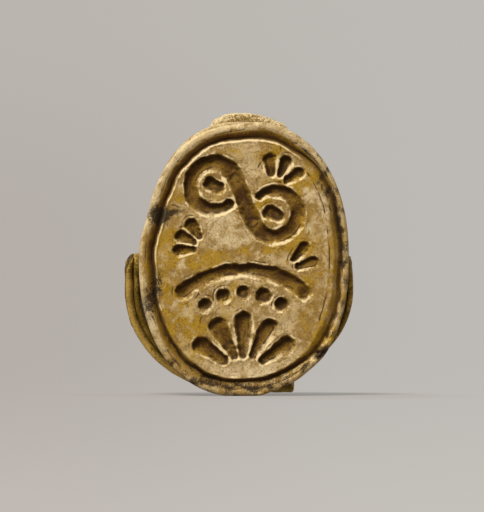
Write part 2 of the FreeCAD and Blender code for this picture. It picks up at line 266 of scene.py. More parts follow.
def swell(x, y, z, size, seed):
    """Smooth random field about -1..1: a sum of sine waves in random directions.

    Each wave is sin(k . p + phase), with |k| spread about 2 pi / size. The size is in
    millimetres, and every use has a seed of its own, so that the fields don't match.
    """
    draw = np.random.default_rng(SEED + seed)
    total = np.zeros(np.broadcast(x, y, z).shape)
    for _ in range(WAVES):
        way = draw.normal(size=3)
        way *= 2 * math.pi / size * draw.uniform(0.5, 1.6) / np.linalg.norm(way)
        total += np.sin(way[0] * x + way[1] * y + way[2] * z + draw.uniform(0, 2 * math.pi))
    return total / math.sqrt(WAVES) / 1.2


def face_swell(x, z, size, seed):
    """The same field on the plane of the face."""
    return swell(x, 0 * x, z, size, seed)


def smooth_step(value, low, high):
    """0 below low, 1 above high, and 3t^2 - 2t^3 between."""
    share = np.clip((value - low) / (high - low), 0, 1)
    return share * share * (3 - 2 * share)


def window(value, low, rise, fall, high):
    """0 outside low..high and 1 between rise and fall, with smooth steps between."""
    return smooth_step(value, low, rise) * smooth_step(value, high, fall)


def soft_line(distance, width):
    """exp(-(d / w)^2): 1 on a line, fading to both sides of it."""
    return np.exp(-(distance / width) ** 2)


def soft_min(a, b, blend):
    """Polynomial smooth minimum of two distance fields."""
    share = np.clip(0.5 + 0.5 * (b - a) / blend, 0, 1)
    return b + (a - b) * share - blend * share * (1 - share)


def soft_max(a, b, blend):
    return -soft_min(-a, -b, blend)


def spot(x, z, place, size):
    """Round soft spot: exp(-(d / size)^2) about a place (x, z)."""
    return np.exp(-((x - place[0]) ** 2 + (z - place[1]) ** 2) / size ** 2)


def stretched_spot(x, z, place, along, across, tilt):
    """Soft oval spot with its long way turned by tilt degrees from +X towards +Z."""
    turn = math.radians(tilt)
    p = (x - place[0]) * math.cos(turn) + (z - place[1]) * math.sin(turn)
    q = (z - place[1]) * math.cos(turn) - (x - place[0]) * math.sin(turn)
    return np.exp(-(p / along) ** 2 - (q / across) ** 2)


# Photograph scale, used only to place stains, chips and cracks

STONE_PIXELS = 277
STONE_LENGTH = 22.0
PIXEL = STONE_LENGTH / STONE_PIXELS
ORIGIN_PIXEL = (243.8, 258.8)


def photo_place(column, row):
    """Place (x, z) in millimetres on the inscribed face for a pixel of the photograph."""
    return (column - ORIGIN_PIXEL[0]) * PIXEL, (ORIGIN_PIXEL[1] - row) * PIXEL


# Inscribed face

# Direction (x, z) towards the upper left, where the walls of the cuts are steep and where the lamp
# stands, for the painted highlight and shade
UP_LEFT = (-0.50, 0.87)

# Wear in millimetres, and the angles from +X in degrees between which it grows and fades
SHOULDER_WEAR = 0.42
SHOULDER_ANGLES = (112, 138, 152, 178)
TAIL_WEAR = 0.20
TAIL_ANGLES = (274, 284, 298, 312)
RIM_WEAR = 0.34
RIM_ANGLES = (78, 98, 112, 138)


def outline_reach(turn):
    """Distance from the middle to the stone's outline, with the tail cut flat."""
    cosine, sine = np.cos(turn), np.sin(turn)
    power = OUTLINE_POWER
    oval = (np.abs(cosine / HALF_WIDTH) ** power
            + np.abs(sine / HALF_LENGTH) ** power) ** (-1 / power)
    tail = np.where(sine < 0, STAND_LEVEL / np.minimum(sine, -1e-6), 1e9)
    return np.minimum(oval, tail)


def flat_shoulder(turn):
    """How far the worn upper left shoulder and the right of the tail lie inside the oval."""
    angle = np.degrees(turn) % 360
    return SHOULDER_WEAR * window(angle, *SHOULDER_ANGLES) + TAIL_WEAR * window(angle, *TAIL_ANGLES)


def rim_shift(turn):
    """How far the rim stands inside the side wall: most at the upper left, near the head."""
    return RIM_WEAR * window(np.degrees(turn) % 360, *RIM_ANGLES)


def rim_distance(x, z):
    """Distance inwards from the outline: (1 - f) / |grad f| for the oval f(x, z) = 1."""
    power = OUTLINE_POWER
    ax, az = np.abs(x) / HALF_WIDTH, np.abs(z) / HALF_LENGTH
    total = np.maximum(ax ** power + az ** power, 1e-9)
    f = total ** (1 / power)
    gx = total ** (1 / power - 1) * ax ** (power - 1) / HALF_WIDTH
    gz = total ** (1 / power - 1) * az ** (power - 1) / HALF_LENGTH
    distance = (1 - f) / np.maximum(np.hypot(gx, gz), 1e-6)
    return np.minimum(distance, z - STAND_LEVEL)


def worn_distance(x, z):
    """Distance inwards from the worn outline of the face."""
    turn = np.arctan2(z, x)
    return rim_distance(x, z) - rim_shift(turn) - flat_shoulder(turn)


COIL_PLACES = ((-0.34 * FIELD_X, 0.60 * FIELD_Z), (0.36 * FIELD_X, 0.37 * FIELD_Z))
COIL_RADIUS = 0.27 * FIELD_X
COIL_TURN = 290
SEED_HALF_LENGTH = 0.055 * FIELD_X
CANOPY_PLACE = (0.0, -0.86 * FIELD_Z)
CANOPY_RADIUS = 1.06 * FIELD_X
CANOPY_HALF_ANGLE = 41
BEAD_RADIUS = 0.79 * FIELD_X
BEAD_ANGLES = (56, 73, 90, 107, 124)
FAN_PLACE = (0.0, -0.95 * FIELD_Z)
FAN_LEAVES = ((32, 0.26, 0.58), (61, 0.22, 0.60), (90, 0.20, 0.60),
              (119, 0.22, 0.60), (148, 0.26, 0.58))
SPRAYS = (((0.35, 0.59), (30, 64, 98)), ((-0.42, 0.084), (125, 155, 185)),
          ((0.48, -0.095), (15, 50)))
SPRAY_NEAR = 0.17 * FIELD_X
SPRAY_FAR = 0.33 * FIELD_X

# Shares of the full stroke width at the start and the end of each kind of stroke
COIL_WIDTH_SHARES = (1.18, 0.76)
SEED_WIDTH_SHARES = (0.78, 1.02)
LINK_WIDTH_SHARES = (1.18, 1.18)
CANOPY_WIDTH_SHARES = (0.92, 1.22)
BEAD_WIDTH_SHARES = (1.06, 1.16)
LEAF_WIDTH_SHARES = (0.70, 1.32)
SPRAY_WIDTH_SHARES = (0.62, 0.98)


def on_circle(middle, radius, angle):
    turn = math.radians(angle)
    return middle[0] + radius * math.cos(turn), middle[1] + radius * math.sin(turn)


def from_line(x, z, start, end):
    """Step from the nearest point of a straight stroke, and the share of the way along it."""
    run = np.subtract(end, start)
    share = np.clip(((x - start[0]) * run[0] + (z - start[1]) * run[1]) / (run @ run), 0, 1)
    return x - start[0] - share * run[0], z - start[1] - share * run[1], share


def from_arc(x, z, middle, radius, first, last):
    """Step from the nearest point of an arc, and the share of the way along it.

    Angles are counted from +X towards +Z.
    """
    past = (np.degrees(np.arctan2(z - middle[1], x - middle[0])) - first) % 360
    turn = last - first
    beyond = past > turn
    share = np.where(beyond, np.where(past - turn < (360 - turn) / 2, 1.0, 0.0), past / turn)
    nearest = np.radians(first + share * turn)
    return (x - middle[0] - radius * np.cos(nearest), z - middle[1] - radius * np.sin(nearest),
            share)


def width_between(shares, way):
    """Share of the full width, from the first of two shares at 0 to the second at 1."""
    return shares[0] + (shares[1] - shares[0]) * way


def straight_stroke(x, z, start, end, shares):
    """Step from the middle line of a straight stroke and the share of the full width."""
    dx, dz, way = from_line(x, z, start, end)
    return dx, dz, width_between(shares, way)


def stroke_steps(x, z):
    """For each stroke the step (dx, dz) from its middle line and the share of the full width."""
    run = np.subtract(COIL_PLACES[1], COIL_PLACES[0])
    tilt = math.degrees(math.atan2(run[1], run[0]))
    slope = math.degrees(math.asin(2 * COIL_RADIUS / math.hypot(*run)))
    starts = (tilt + 90 - slope, tilt + 270 - slope)
    steps = []
    for middle, start in zip(COIL_PLACES, starts):
        dx, dz, way = from_arc(x, z, middle, COIL_RADIUS, start, start + COIL_TURN)
        steps.append((dx, dz, width_between(COIL_WIDTH_SHARES, way ** 2)))
        ends = [on_circle(middle, SEED_HALF_LENGTH, tilt + turn) for turn in (0, 180)]
        steps.append(straight_stroke(x, z, *ends, SEED_WIDTH_SHARES))
    ends = [on_circle(middle, COIL_RADIUS, start) for middle, start in zip(COIL_PLACES, starts)]
    steps.append(straight_stroke(x, z, *ends, LINK_WIDTH_SHARES))
    dx, dz, way = from_arc(x, z, CANOPY_PLACE, CANOPY_RADIUS, 90 - CANOPY_HALF_ANGLE,
                           90 + CANOPY_HALF_ANGLE)
    steps.append((dx, dz, width_between(CANOPY_WIDTH_SHARES, np.abs(2 * way - 1) ** 1.5)))
    for place, angle in enumerate(BEAD_ANGLES):
        bead = on_circle(CANOPY_PLACE, BEAD_RADIUS, angle)
        width_share = width_between(BEAD_WIDTH_SHARES, math.sin(2.4 * place))
        steps.append((x - bead[0], z - bead[1], width_share))
    for angle, *reaches in FAN_LEAVES:
        ends = [on_circle(FAN_PLACE, reach * FIELD_X, angle) for reach in reaches]
        steps.append(straight_stroke(x, z, *ends, LEAF_WIDTH_SHARES))
    for place, angles in SPRAYS:
        middle = (place[0] * FIELD_X, place[1] * FIELD_Z)
        for angle in angles:
            ends = [on_circle(middle, reach, angle) for reach in (SPRAY_NEAR, SPRAY_FAR)]
            steps.append(straight_stroke(x, z, *ends, SPRAY_WIDTH_SHARES))
    return steps


TOOL_GAP = 0.20
TOOL_LINE = 0.055
SEAM_DEPTH = 0.05
FOOT_LINE = 0.09
SCRATCH_LINE = 0.05


def carved_strokes(x, z, stone):
    """Depth of the strokes, the thin tool lines beside them and the seams of dirt in them.

    Across a stroke the depth is D (1 - (d / w)^p) (0.88 + 0.26 t), where d is the distance
    to the middle line, w the half width and t runs from -1 at the lower right edge to 1 at
    the upper left one. The power p = 2.1 + 1.1 t makes the upper left wall the steep one.
    """
    half = stone.stroke_width / 2
    wobble = (0.045 * face_swell(x, z, 1.2, 3) + 0.05 * face_swell(x, z, 3.0, 4)
              - 0.05 * np.abs(face_swell(x, z, 0.9, 15)))
    strokes, tool, seam = np.zeros_like(x), np.zeros_like(x), np.zeros_like(x)
    steps = stroke_steps(x, z)
    for dx, dz, width_share in steps:
        width = half * width_share
        distance = np.hypot(dx, dz)
        lean = np.clip((UP_LEFT[0] * dx + UP_LEFT[1] * dz) / width, -1.2, 1.2)
        share = np.clip((distance + wobble) / width, 0, 1)
        trough = (1 - share ** (2.1 + 1.1 * lean)) * (0.88 + 0.26 * lean)
        strokes = np.maximum(strokes, trough * (0.84 + 0.16 * width_share))
        line = soft_line(distance - width - TOOL_GAP, TOOL_LINE)
        tool = np.maximum(tool, line * (0.4 + 0.6 * smooth_step(lean, 0.2, 0.9)))
        foot = soft_line(distance - 0.60 * width, FOOT_LINE) * smooth_step(lean, 0.0, 0.5)
        scratch = soft_line(distance - 0.45 * width, SCRATCH_LINE) * smooth_step(lean, -0.1, -0.4)
        seam = np.maximum(seam, np.maximum(foot, 0.7 * scratch) * (distance < width))
    for dx, dz, width_share in steps:
        width = half * width_share
        tool = tool * smooth_step(np.hypot(dx, dz), width, width + 0.1)
    strokes *= stone.stroke_depth * (1 + 0.16 * face_swell(x, z, 2.4, 5))
    seam = seam * smooth_step(face_swell(x, z, 0.8, 26), -0.6, 0.5)
    tool = tool * smooth_step(face_swell(x, z, 2.2, 16), -0.1, 0.5)
    return np.maximum(strokes, 0) + SEAM_DEPTH * seam, tool, seam


CREST = 0.34
WALL_FOOT = 1.12
WALL_FOOT_SHIFT = 0.46
FIELD_EDGE = 1.44
FIELD_EDGE_SHIFT = 0.06
FIELD_LEVEL = 0.05
MOUNT_SPOT = 0.6
RIGHT_LINE = 1.62


def face_profile(x, z, stone):
    """Depth of the inscribed face below the plane of its rim, and the parts it is made of.

    The rim rises over a quarter round to its crest, the border groove slopes down to its
    deepest line and climbs a steep wall to the field, which is nearer the rim and gentler on
    the right. The strokes are cut into the field. The spot at the origin is left uncut.
    """
    wobble = 0.06 * face_swell(x, z, 3.2, 1) + 0.03 * face_swell(x, z, 1.1, 17)
    distance = np.maximum(worn_distance(x, z), 0)
    q = distance + np.clip(distance / 0.5, 0, 1) * wobble
    right = smooth_step(x, 3.0, 7.0)
    wall_foot = WALL_FOOT - WALL_FOOT_SHIFT * right
    field_edge = FIELD_EDGE - FIELD_EDGE_SHIFT * right
    rim = CREST * (1 - np.sqrt(1 - (1 - np.clip(distance / CREST, 0, 1)) ** 2))
    slope = np.clip((q - CREST) / (wall_foot - CREST), 0, 1) ** (1.5 - 0.5 * right)
    slope = slope * (0.9 + 0.1 * slope)
    wall = 1 - smooth_step(q, wall_foot, field_edge)
    groove = stone.border_depth * (1 + 0.16 * face_swell(x, z, 4.5, 2)) * slope * wall
    strokes, tool, seam = carved_strokes(x, z, stone)
    inside = smooth_step(q, field_edge - 0.15, field_edge + 0.2)
    field = (FIELD_LEVEL + stone.relief * (0.5 + 0.5 * face_swell(x, z, 4.2, 6))
             + 0.040 * face_swell(x, z, 1.7, 18) + 0.018 * face_swell(x, z, 0.7, 7)) * inside
    field = np.maximum(field + 0.035 * tool * inside, 0) * (1 - spot(x, z, (0, 0), MOUNT_SPOT))
    broken = smooth_step(face_swell(x, z, 1.4, 27), -0.5, 0.4)
    line = np.maximum(soft_line(q - wall_foot + 0.05, 0.07),
                      0.7 * soft_line(q - CREST - 0.20, 0.05)) * broken
    line = np.maximum(line, soft_line(q - RIGHT_LINE, 0.05) * right * (0.2 + 0.8 * broken))
    depth = np.maximum(rim + np.maximum(groove, 0) + field, strokes * inside + field)
    return (depth + SEAM_DEPTH * line, groove, strokes * inside, tool * inside,
            np.maximum(seam * inside, line))


# Small breaks in the rim: pixel of the photograph, size and depth in millimetres
CHIPS = (((321, 355), 0.50, 0.45), ((232, 128), 0.42, 0.10), ((205, 377), 0.45, 0.16),
         ((166, 352), 0.30, 0.10), ((344, 262), 0.35, 0.16), ((152, 214), 0.45, 0.10),
         ((258, 392), 0.55, 0.18), ((330, 338), 0.35, 0.16), ((284, 384), 0.4, 0.12),
         ((178, 160), 0.30, 0.07), ((296, 143), 0.30, 0.09), ((146, 300), 0.4, 0.07))

# Hairline cracks: first and last pixel in the photograph
CRACKS = (((257, 142), (262, 160)), ((262, 160), (258, 172)), ((279, 146), (283, 172)),
          ((199, 330), (216, 288)), ((306, 242), (312, 224)), ((246, 330), (243, 345)),
          ((170, 205), (186, 212)), ((322, 186), (330, 210)), ((200, 292), (188, 306)))
CRACK_WIDTH = 0.07
CRACK_BEND = 0.16


def chips(x, z):
    """Depth of the small breaks in the rim."""
    ragged = 1 + 0.5 * face_swell(x, z, 0.5, 8)
    depth = np.zeros_like(x)
    for pixel, size, deep in CHIPS:
        depth = np.maximum(depth, deep * ragged * spot(x, z, photo_place(*pixel), size))
    return np.maximum(depth, 0)


def cracks(x, z):
    """Thin broken lines of the hairline cracks, bent by a swell."""
    bent_x = x + CRACK_BEND * face_swell(x, z, 1.6, 19)
    bent_z = z + CRACK_BEND * face_swell(x, z, 1.6, 20)
    mask = np.zeros_like(x)
    for first, last in CRACKS:
        dx, dz, _ = from_line(bent_x, bent_z, photo_place(*first), photo_place(*last))
        mask = np.maximum(mask, soft_line(np.hypot(dx, dz), CRACK_WIDTH))
    return mask * smooth_step(face_swell(x, z, 0.7, 24), -0.5, 0.3)


def blurred(values, reach):
    """Mean of a square window of cells, by running sums along both ways of the grid."""
    out = np.pad(values, reach, mode="edge")
    for axis in (0, 1):
        total = np.cumsum(out, axis=axis)
        total = np.concatenate([np.zeros_like(np.take(total, [0], axis)), total], axis=axis)
        size = 2 * reach + 1
        count = total.shape[axis]
        out = (np.take(total, np.arange(size, count), axis)
               - np.take(total, np.arange(0, count - size), axis)) / size
    return out


def store_lamp_facing(piece):
    """How far each point faces up and left towards the lamp, from -1 to 1, for the painted shade in
    the dirt and the painted highlight on rubbed edges.
    """
    normals = np.empty(len(piece.data.vertices) * 3, dtype=np.float32)
    piece.data.vertices.foreach_get("normal", normals)
    store_mask(piece, "lamp_facing", UP_LEFT[0] * normals[0::3] + UP_LEFT[1] * normals[2::3])


# Rings of the base's side wall: depths behind the face and how far they stand inside it
SIDE_DEPTHS = (0.50, 0.70, 0.95, 1.20, 1.45, 1.70, 1.90, 2.06, 2.18, 2.27, PLINTH)
SIDE_INSETS = (0.0, 0.0, 0.02, 0.05, 0.03, 0.01, 0.0, 0.02, 0.08, 0.17, 0.30)
REAR_RING_SHARES = (0.93, 0.86, 0.78)


def side_rings(edge):
    """Rings of the worn side wall and of the flat rear, carried back from the face's edge."""
    x, z = edge[:, 0], edge[:, 2]
    outwards = edge[:, (0, 2)] / np.linalg.norm(edge[:, (0, 2)], axis=1)[:, None]
    flare = rim_shift(np.arctan2(z, x))
    rings = []
    for deep, inset in zip(SIDE_DEPTHS, SIDE_INSETS):
        level = np.full(len(edge), deep)
        worn = (inset + 0.05 * (1 + swell(x, level, z, 2.6, 9))
                + 0.015 * (1 + swell(x, level, z, 0.6, 10)))
        worn = np.maximum(worn, 0) - flare * smooth_step(deep, 0.5, 1.0)
        rings.append(np.stack([x - worn * outwards[:, 0], level, z - worn * outwards[:, 1]],
                              axis=-1))
    return rings + [rings[-1] * (share, 1, share) for share in REAR_RING_SHARES]


def seal_base(stone):
    """Oval slab with the carved face.

    A square grid u, v in -1..1 becomes a disc by x = u sqrt(1 - v^2 / 2) and
    z = v sqrt(1 - u^2 / 2), and the disc becomes the oval by the outline's reach at each
    angle. The side wall is the grid's edge carried to the rear, where rings close on a point.
    """
    line = np.linspace(-1, 1, stone.face_cells + 1)
    line = line * 0.72 + 0.28 * np.sin(line * math.pi / 2)
    v, u = np.meshgrid(line, line, indexing="ij")
    disc_x = u * np.sqrt(1 - v * v / 2)
    disc_z = v * np.sqrt(1 - u * u / 2)
    turn = np.arctan2(disc_z, disc_x)
    reach = outline_reach(turn) - rim_shift(turn) - flat_shoulder(turn)
    reach = reach * np.minimum(np.hypot(disc_x, disc_z), 1)
    x, z = reach * np.cos(turn), reach * np.sin(turn)
    depth, groove, strokes, tool, lines = face_profile(x, z, stone)
    depth = depth + chips(x, z)
    face = np.stack([x, depth, z], axis=-1).reshape(-1, 3)

    count = len(line)
    number = np.arange(count * count).reshape(count, count)
    edge = np.concatenate([number[0, :-1], number[:-1, -1], number[-1, :0:-1],
                           number[:0:-1, 0]])
    rings = side_rings(face[edge])
    points = np.concatenate([face] + rings + [np.array([[0, PLINTH, 0]])])
    first = np.arange(len(edge)) + len(face)
    last = first + (len(rings) - 1) * len(edge)
    seam = np.stack([first, np.roll(first, -1), np.roll(edge, -1), edge], axis=-1)
    band = grid_faces(len(rings), len(edge), True)[:, ::-1] + len(face)
    piece = build_mesh("seal_base", points,
                       np.concatenate([grid_faces(count, count, False), seam, band]),
                       fan_faces(last, len(points) - 1)[:, ::-1])

    inside = smooth_step(worn_distance(x, z), 0.30, 0.55)
    cavity = (depth - blurred(depth, 5)) * inside - 0.05 * (1 - inside)
    rubbing = np.clip(0.72 + 0.5 * face_swell(x, z, 0.8, 26), 0.2, 1.3)
    fine_cavity = (depth - blurred(depth, 2)) * inside
    # Less dirt, so lighter, in the border groove towards the right
    right_groove_fade = 1 + 3.2 * smooth_step(x, 4.0, 6.5)
    cut = np.clip(np.maximum((np.maximum(groove, 0) / stone.border_depth) ** right_groove_fade,
                             strokes / stone.stroke_depth), 0, 1.3)
    store_mask(piece, "cut", cut, 0.10)
    store_mask(piece, "hollow", cavity * 9 * rubbing)
    store_mask(piece, "fine", fine_cavity * 25 + 0.9 * tool + 1.2 * cracks(x, z) + 1.1 * lines)
    store_mask(piece, "halo", blurred(blurred(cut, 5), 5), 0.3)
    store_lamp_facing(piece)
    store_stains(piece, points)
    return piece


# Stains: pixel of the photograph, length and breadth in millimetres, tilt in degrees
YELLOW_STAINS = (
    ((178, 235), 1.6, 0.9, 0), ((190, 262), 2.2, 0.9, 5), ((172, 300), 0.9, 1.8, 0),
    ((180, 330), 1.3, 1.0, 30), ((300, 188), 1.0, 0.8, 0), ((270, 154), 0.8, 0.7, 0),
    ((262, 207), 0.8, 0.9, 60), ((250, 250), 2.4, 0.5, 5), ((290, 235), 1.2, 0.8, 30),
    ((172, 198), 0.9, 0.6, 0), ((325, 335), 0.8, 1.2, 0), ((148, 262), 0.5, 1.6, 0),
    ((230, 150), 1.2, 0.5, 10), ((200, 325), 1.6, 0.7, 0))
PALE_STAINS = (
    ((198, 156), 1.8, 1.0, 35), ((235, 144), 1.4, 0.7, 0), ((325, 210), 0.6, 2.0, 0),
    ((250, 345), 2.6, 0.9, 0), ((262, 372), 3.4, 0.7, 5), ((230, 243), 1.6, 0.7, 0),
    ((250, 276), 2.2, 0.5, 0), ((144, 320), 0.5, 2.6, 15), ((218, 216), 1.2, 0.7, 0),
    ((150, 200), 0.5, 1.2, 0), ((300, 260), 0.8, 0.6, 0))

# Crust: the same, and its strength
CRUST_STAINS = (
    ((159, 215), 0.85, 0.75, 0, 1.9), ((168, 213), 1.0, 0.30, 8, 1.3),
    ((152, 297), 2.10, 0.66, 75, 1.05), ((148, 304), 0.6, 0.4, 0, 0.85),
    ((343, 264), 0.30, 0.36, 0, 1.0), ((321, 178), 0.70, 0.24, 50, 0.9),
    ((327, 192), 0.50, 0.28, 65, 0.9), ((339, 225), 2.6, 0.26, 97, 0.95),
    ((321, 353), 0.85, 0.36, 50, 0.9), ((212, 381), 1.2, 0.50, -18, 0.95),
    ((238, 386), 2.2, 0.34, -3, 0.8), ((305, 150), 0.8, 0.20, -45, 0.8),
    ((193, 366), 0.8, 0.36, -35, 0.9), ((174, 345), 1.2, 0.20, -58, 0.8),
    ((257, 388), 0.5, 0.32, 0, 1.0), ((270, 380), 1.6, 0.30, 12, 0.55))


def store_stains(piece, points):
    """Masks of the yellow stains and of the crust on a piece of the stone, with painted light on
    the rim towards the lamp and painted shade on the rim's right side and bottom.
    """
    x, y, z = points.T
    ochre, dark = np.zeros(len(x)), np.zeros(len(x))
    for strength, stains in ((1.3, YELLOW_STAINS), (-0.9, PALE_STAINS)):
        for pixel, *shape in stains:
            ochre += strength * stretched_spot(x, z, photo_place(*pixel), *shape)
    for pixel, *shape, strength in CRUST_STAINS:
        stain = strength * stretched_spot(x, z, photo_place(*pixel), *shape)
        dark = np.maximum(dark, stain)
    inwards = worn_distance(x, z)
    rim = smooth_step(inwards, 0.85, 0.55)
    # Painted light: the rim is paler on the side towards the lamp at the upper left and more ochre
    # away from it
    lit = smooth_step(z - 1.1 * x, -2, 2)
    ochre += rim * (0.2 - 0.6 * lit)
    ochre += 0.6 * smooth_step(x, 3.0, 6.5) * window(inwards, 0.9, 1.1, 1.55, 1.75)
    # More ochre, so darker, over the right of the field
    ochre += 0.50 * smooth_step(x, 3.4, 5.2) * smooth_step(inwards, 1.7, 2.1)
    ragged = 0.55 + 0.45 * swell(x, y, z, 1.3, 11) + 0.25 * swell(x, y, z, 0.5, 12)
    front = smooth_step(y, 3.0, 1.0)
    store_mask(piece, "ochre", np.clip(ochre, -1, 1.4) * ragged * front
               + (1 - front) * (0.7 * swell(x, y, z, 3.5, 13) - 0.1))
    # Painted shade: dark speckled crust laid on the right side and the bottom of the rim
    shade = rim * np.maximum(0.8 * smooth_step(x, 3.5, 6.5), 1.15 * smooth_step(z, -6.5, -9.0))
    shade = shade * np.clip(0.25 + 0.75 * swell(x, y, z, 0.9, 25), 0, 1)
    store_mask(piece, "crust_and_shade", (dark * (0.95 + 0.35 * swell(x, y, z, 0.9, 14)) + 0.8 * shade)
               * smooth_step(y, 1.6, 0.7))


# Beetle

WAIST = 0.22 * FLANK_Z
NECK = 0.74 * FLANK_Z
DOME_MIDDLE = (NECK - FLANK_Z) / 2
DOME_Z = (NECK + FLANK_Z) / 2
HEAD_X = 0.35
HEAD_SIDE = 3.3
HEAD_NOSE = 2.3
HEAD_FRONT = STONE_HIGH[2]
HEAD_CHEEK = 2 * HALF_LENGTH - HEAD_FRONT
HEAD_TOP = 5.8
HEAD_BOTTOM = 2.05
NOTCH = 0.17
EYE = 0.75
RIDGE_X = 0.55 * HEAD_SIDE
RIDGE_RISE = 0.10
LEG_HALF_WIDTH = 0.475
LEG_RISE = 0.30
# Upper and lower end of each leg, as shares of the flank's depth and of its half length
LEG_SHARES = (((0.90, 0.80), (0.20, 0.36)), ((0.90, 0.30), (0.10, 0.12)),
              ((0.10, -0.22), (0.90, -0.80)))
BODY_BOTTOM = 2.0
BODY_COLUMNS = 540
BORE_Y = 4.4
BORE = 0.70
BORE_DEEP = 3.0
CUT_DEEP = 0.28
FOOT_DEEP = 0.10
LEG_EDGE_DEEP = 0.03
GRAIN_DEEP = 0.016
RAGGED_DEEP = 0.04


def oval_norm(x, z, a, b):
    """1 on the superellipse |x/a|^n + |z/b|^n = 1, and in proportion elsewhere."""
    power = OUTLINE_POWER
    return (np.abs(x / a) ** power + np.abs(z / b) ** power + 1e-12) ** (1 / power)


def head_field(x, y, z):
    """Shovel plate: rounded meeting of its side, cheek, front, top, slope and underside planes."""
    ax = np.abs(x - HEAD_X)
    cheek = np.array((HEAD_FRONT - HEAD_CHEEK, HEAD_SIDE - HEAD_NOSE))
    cheek = cheek / np.linalg.norm(cheek)
    fall = np.array((HEAD_FRONT + 1 - NECK, 2.2))
    fall = fall / np.linalg.norm(fall)
    front = z + 0.075 * (x + 0.2) ** 2 + 0.05 - HEAD_FRONT
    planes = (((ax - HEAD_SIDE) * cheek[0] + (z - HEAD_CHEEK) * cheek[1], 0.5),
              (front, 0.3), (WAIST - z, 0.3), (y - HEAD_TOP, 0.8),
              ((y - FLANK_TOP) * fall[0] + (z - HEAD_FRONT - 1) * fall[1], 0.8),
              (HEAD_BOTTOM - y, 0.1))
    plate = ax - HEAD_SIDE
    for plane, blend in planes:
        plate = soft_max(plate, plane, blend)
    for way in (-1, 1):
        notch = NOTCH - np.hypot(x - HEAD_X - way * HEAD_NOSE, front - 0.10)
        plate = soft_max(plate, notch, 0.12)
    ridge = smooth_step(np.abs(ax - RIDGE_X) - 0.10, 0.12, 0.0) * window(z, 8.0, 9.0, 10.6, 11.2)
    plate = plate + RIDGE_RISE * ridge
    eyes = np.sqrt((ax - HEAD_SIDE) ** 2 + (y - FLANK_TOP) ** 2 + (z - NECK) ** 2) - EYE
    return soft_min(plate, eyes, 0.18)


def beetle_field(x, y, z):
    """Negative inside the beetle: smooth union of the flank with its legs, back and head."""
    span = np.hypot(x, z)
    norm = oval_norm(x, z, FLANK_X, FLANK_Z)
    side = span * (1 - 1 / np.maximum(norm, 0.05))
    flank = soft_max(side - leg_rise(y, z), y - FLANK_TOP, 0.25)
    dome_norm = oval_norm(x, z - DOME_MIDDLE, FLANK_X, DOME_Z)
    height = np.maximum(y - FLANK_TOP, 0) / (CROWN - FLANK_TOP)
    form = (dome_norm ** 2.3 + height ** 2.2) ** (1 / 2.25)
    far = np.sqrt(x ** 2 + (y - FLANK_TOP) ** 2 + (z - DOME_MIDDLE) ** 2)
    body = soft_min(flank, far * (1 - 1 / np.maximum(form, 0.05)), 0.15)
    body = soft_min(body, head_field(x, y, z), 0.20)
    return np.maximum(body, BODY_BOTTOM - y)


def leg_lines(y, z):
    """For each leg, the distance from its middle line and its half width there."""
    lines = []
    for leg in LEG_SHARES:
        ends = [(PLINTH + up * (FLANK_TOP - PLINTH), along * FLANK_Z) for up, along in leg]
        dy, dz, share = from_line(y, z, *ends)
        lines.append((np.hypot(dy, dz), LEG_HALF_WIDTH * (1.08 - 0.30 * share)))
    return lines


def leg_rise(y, z):
    """Height of the legs on the flank: a domed ridge, L sqrt(1 - (d / w)^2.4)."""
    rise = np.zeros(np.broadcast(y, z).shape)
    for distance, width in leg_lines(y, z):
        share = np.clip(distance / width, 0, 1)
        rise = np.maximum(rise, LEG_RISE * np.sqrt(1 - share ** 2.4))
    return rise


TRACE_FAR = 13.5
TRACE_NEAR = 0.8
TRACE_STEPS = 84
TRACE_HALVINGS = 14


def trace_outwards(way, field, middle):
    """Outermost radius on each ray from the middle at which the field is negative inside."""
    radius = np.full(way.shape[1:], TRACE_NEAR)
    found = np.zeros(radius.shape, dtype=bool)
    for reach in np.linspace(TRACE_FAR, TRACE_NEAR, TRACE_STEPS + 1):
        inside = field(*[middle[i] + reach * way[i] for i in range(3)]) < 0
        radius = np.where(inside & ~found, reach, radius)
        found |= inside
    low, high = radius, radius + (TRACE_FAR - TRACE_NEAR) / TRACE_STEPS
    for _ in range(TRACE_HALVINGS):
        half = (low + high) / 2
        inside = field(*[middle[i] + half * way[i] for i in range(3)]) < 0
        low, high = np.where(inside, half, low), np.where(inside, high, half)
    return (low + high) / 2


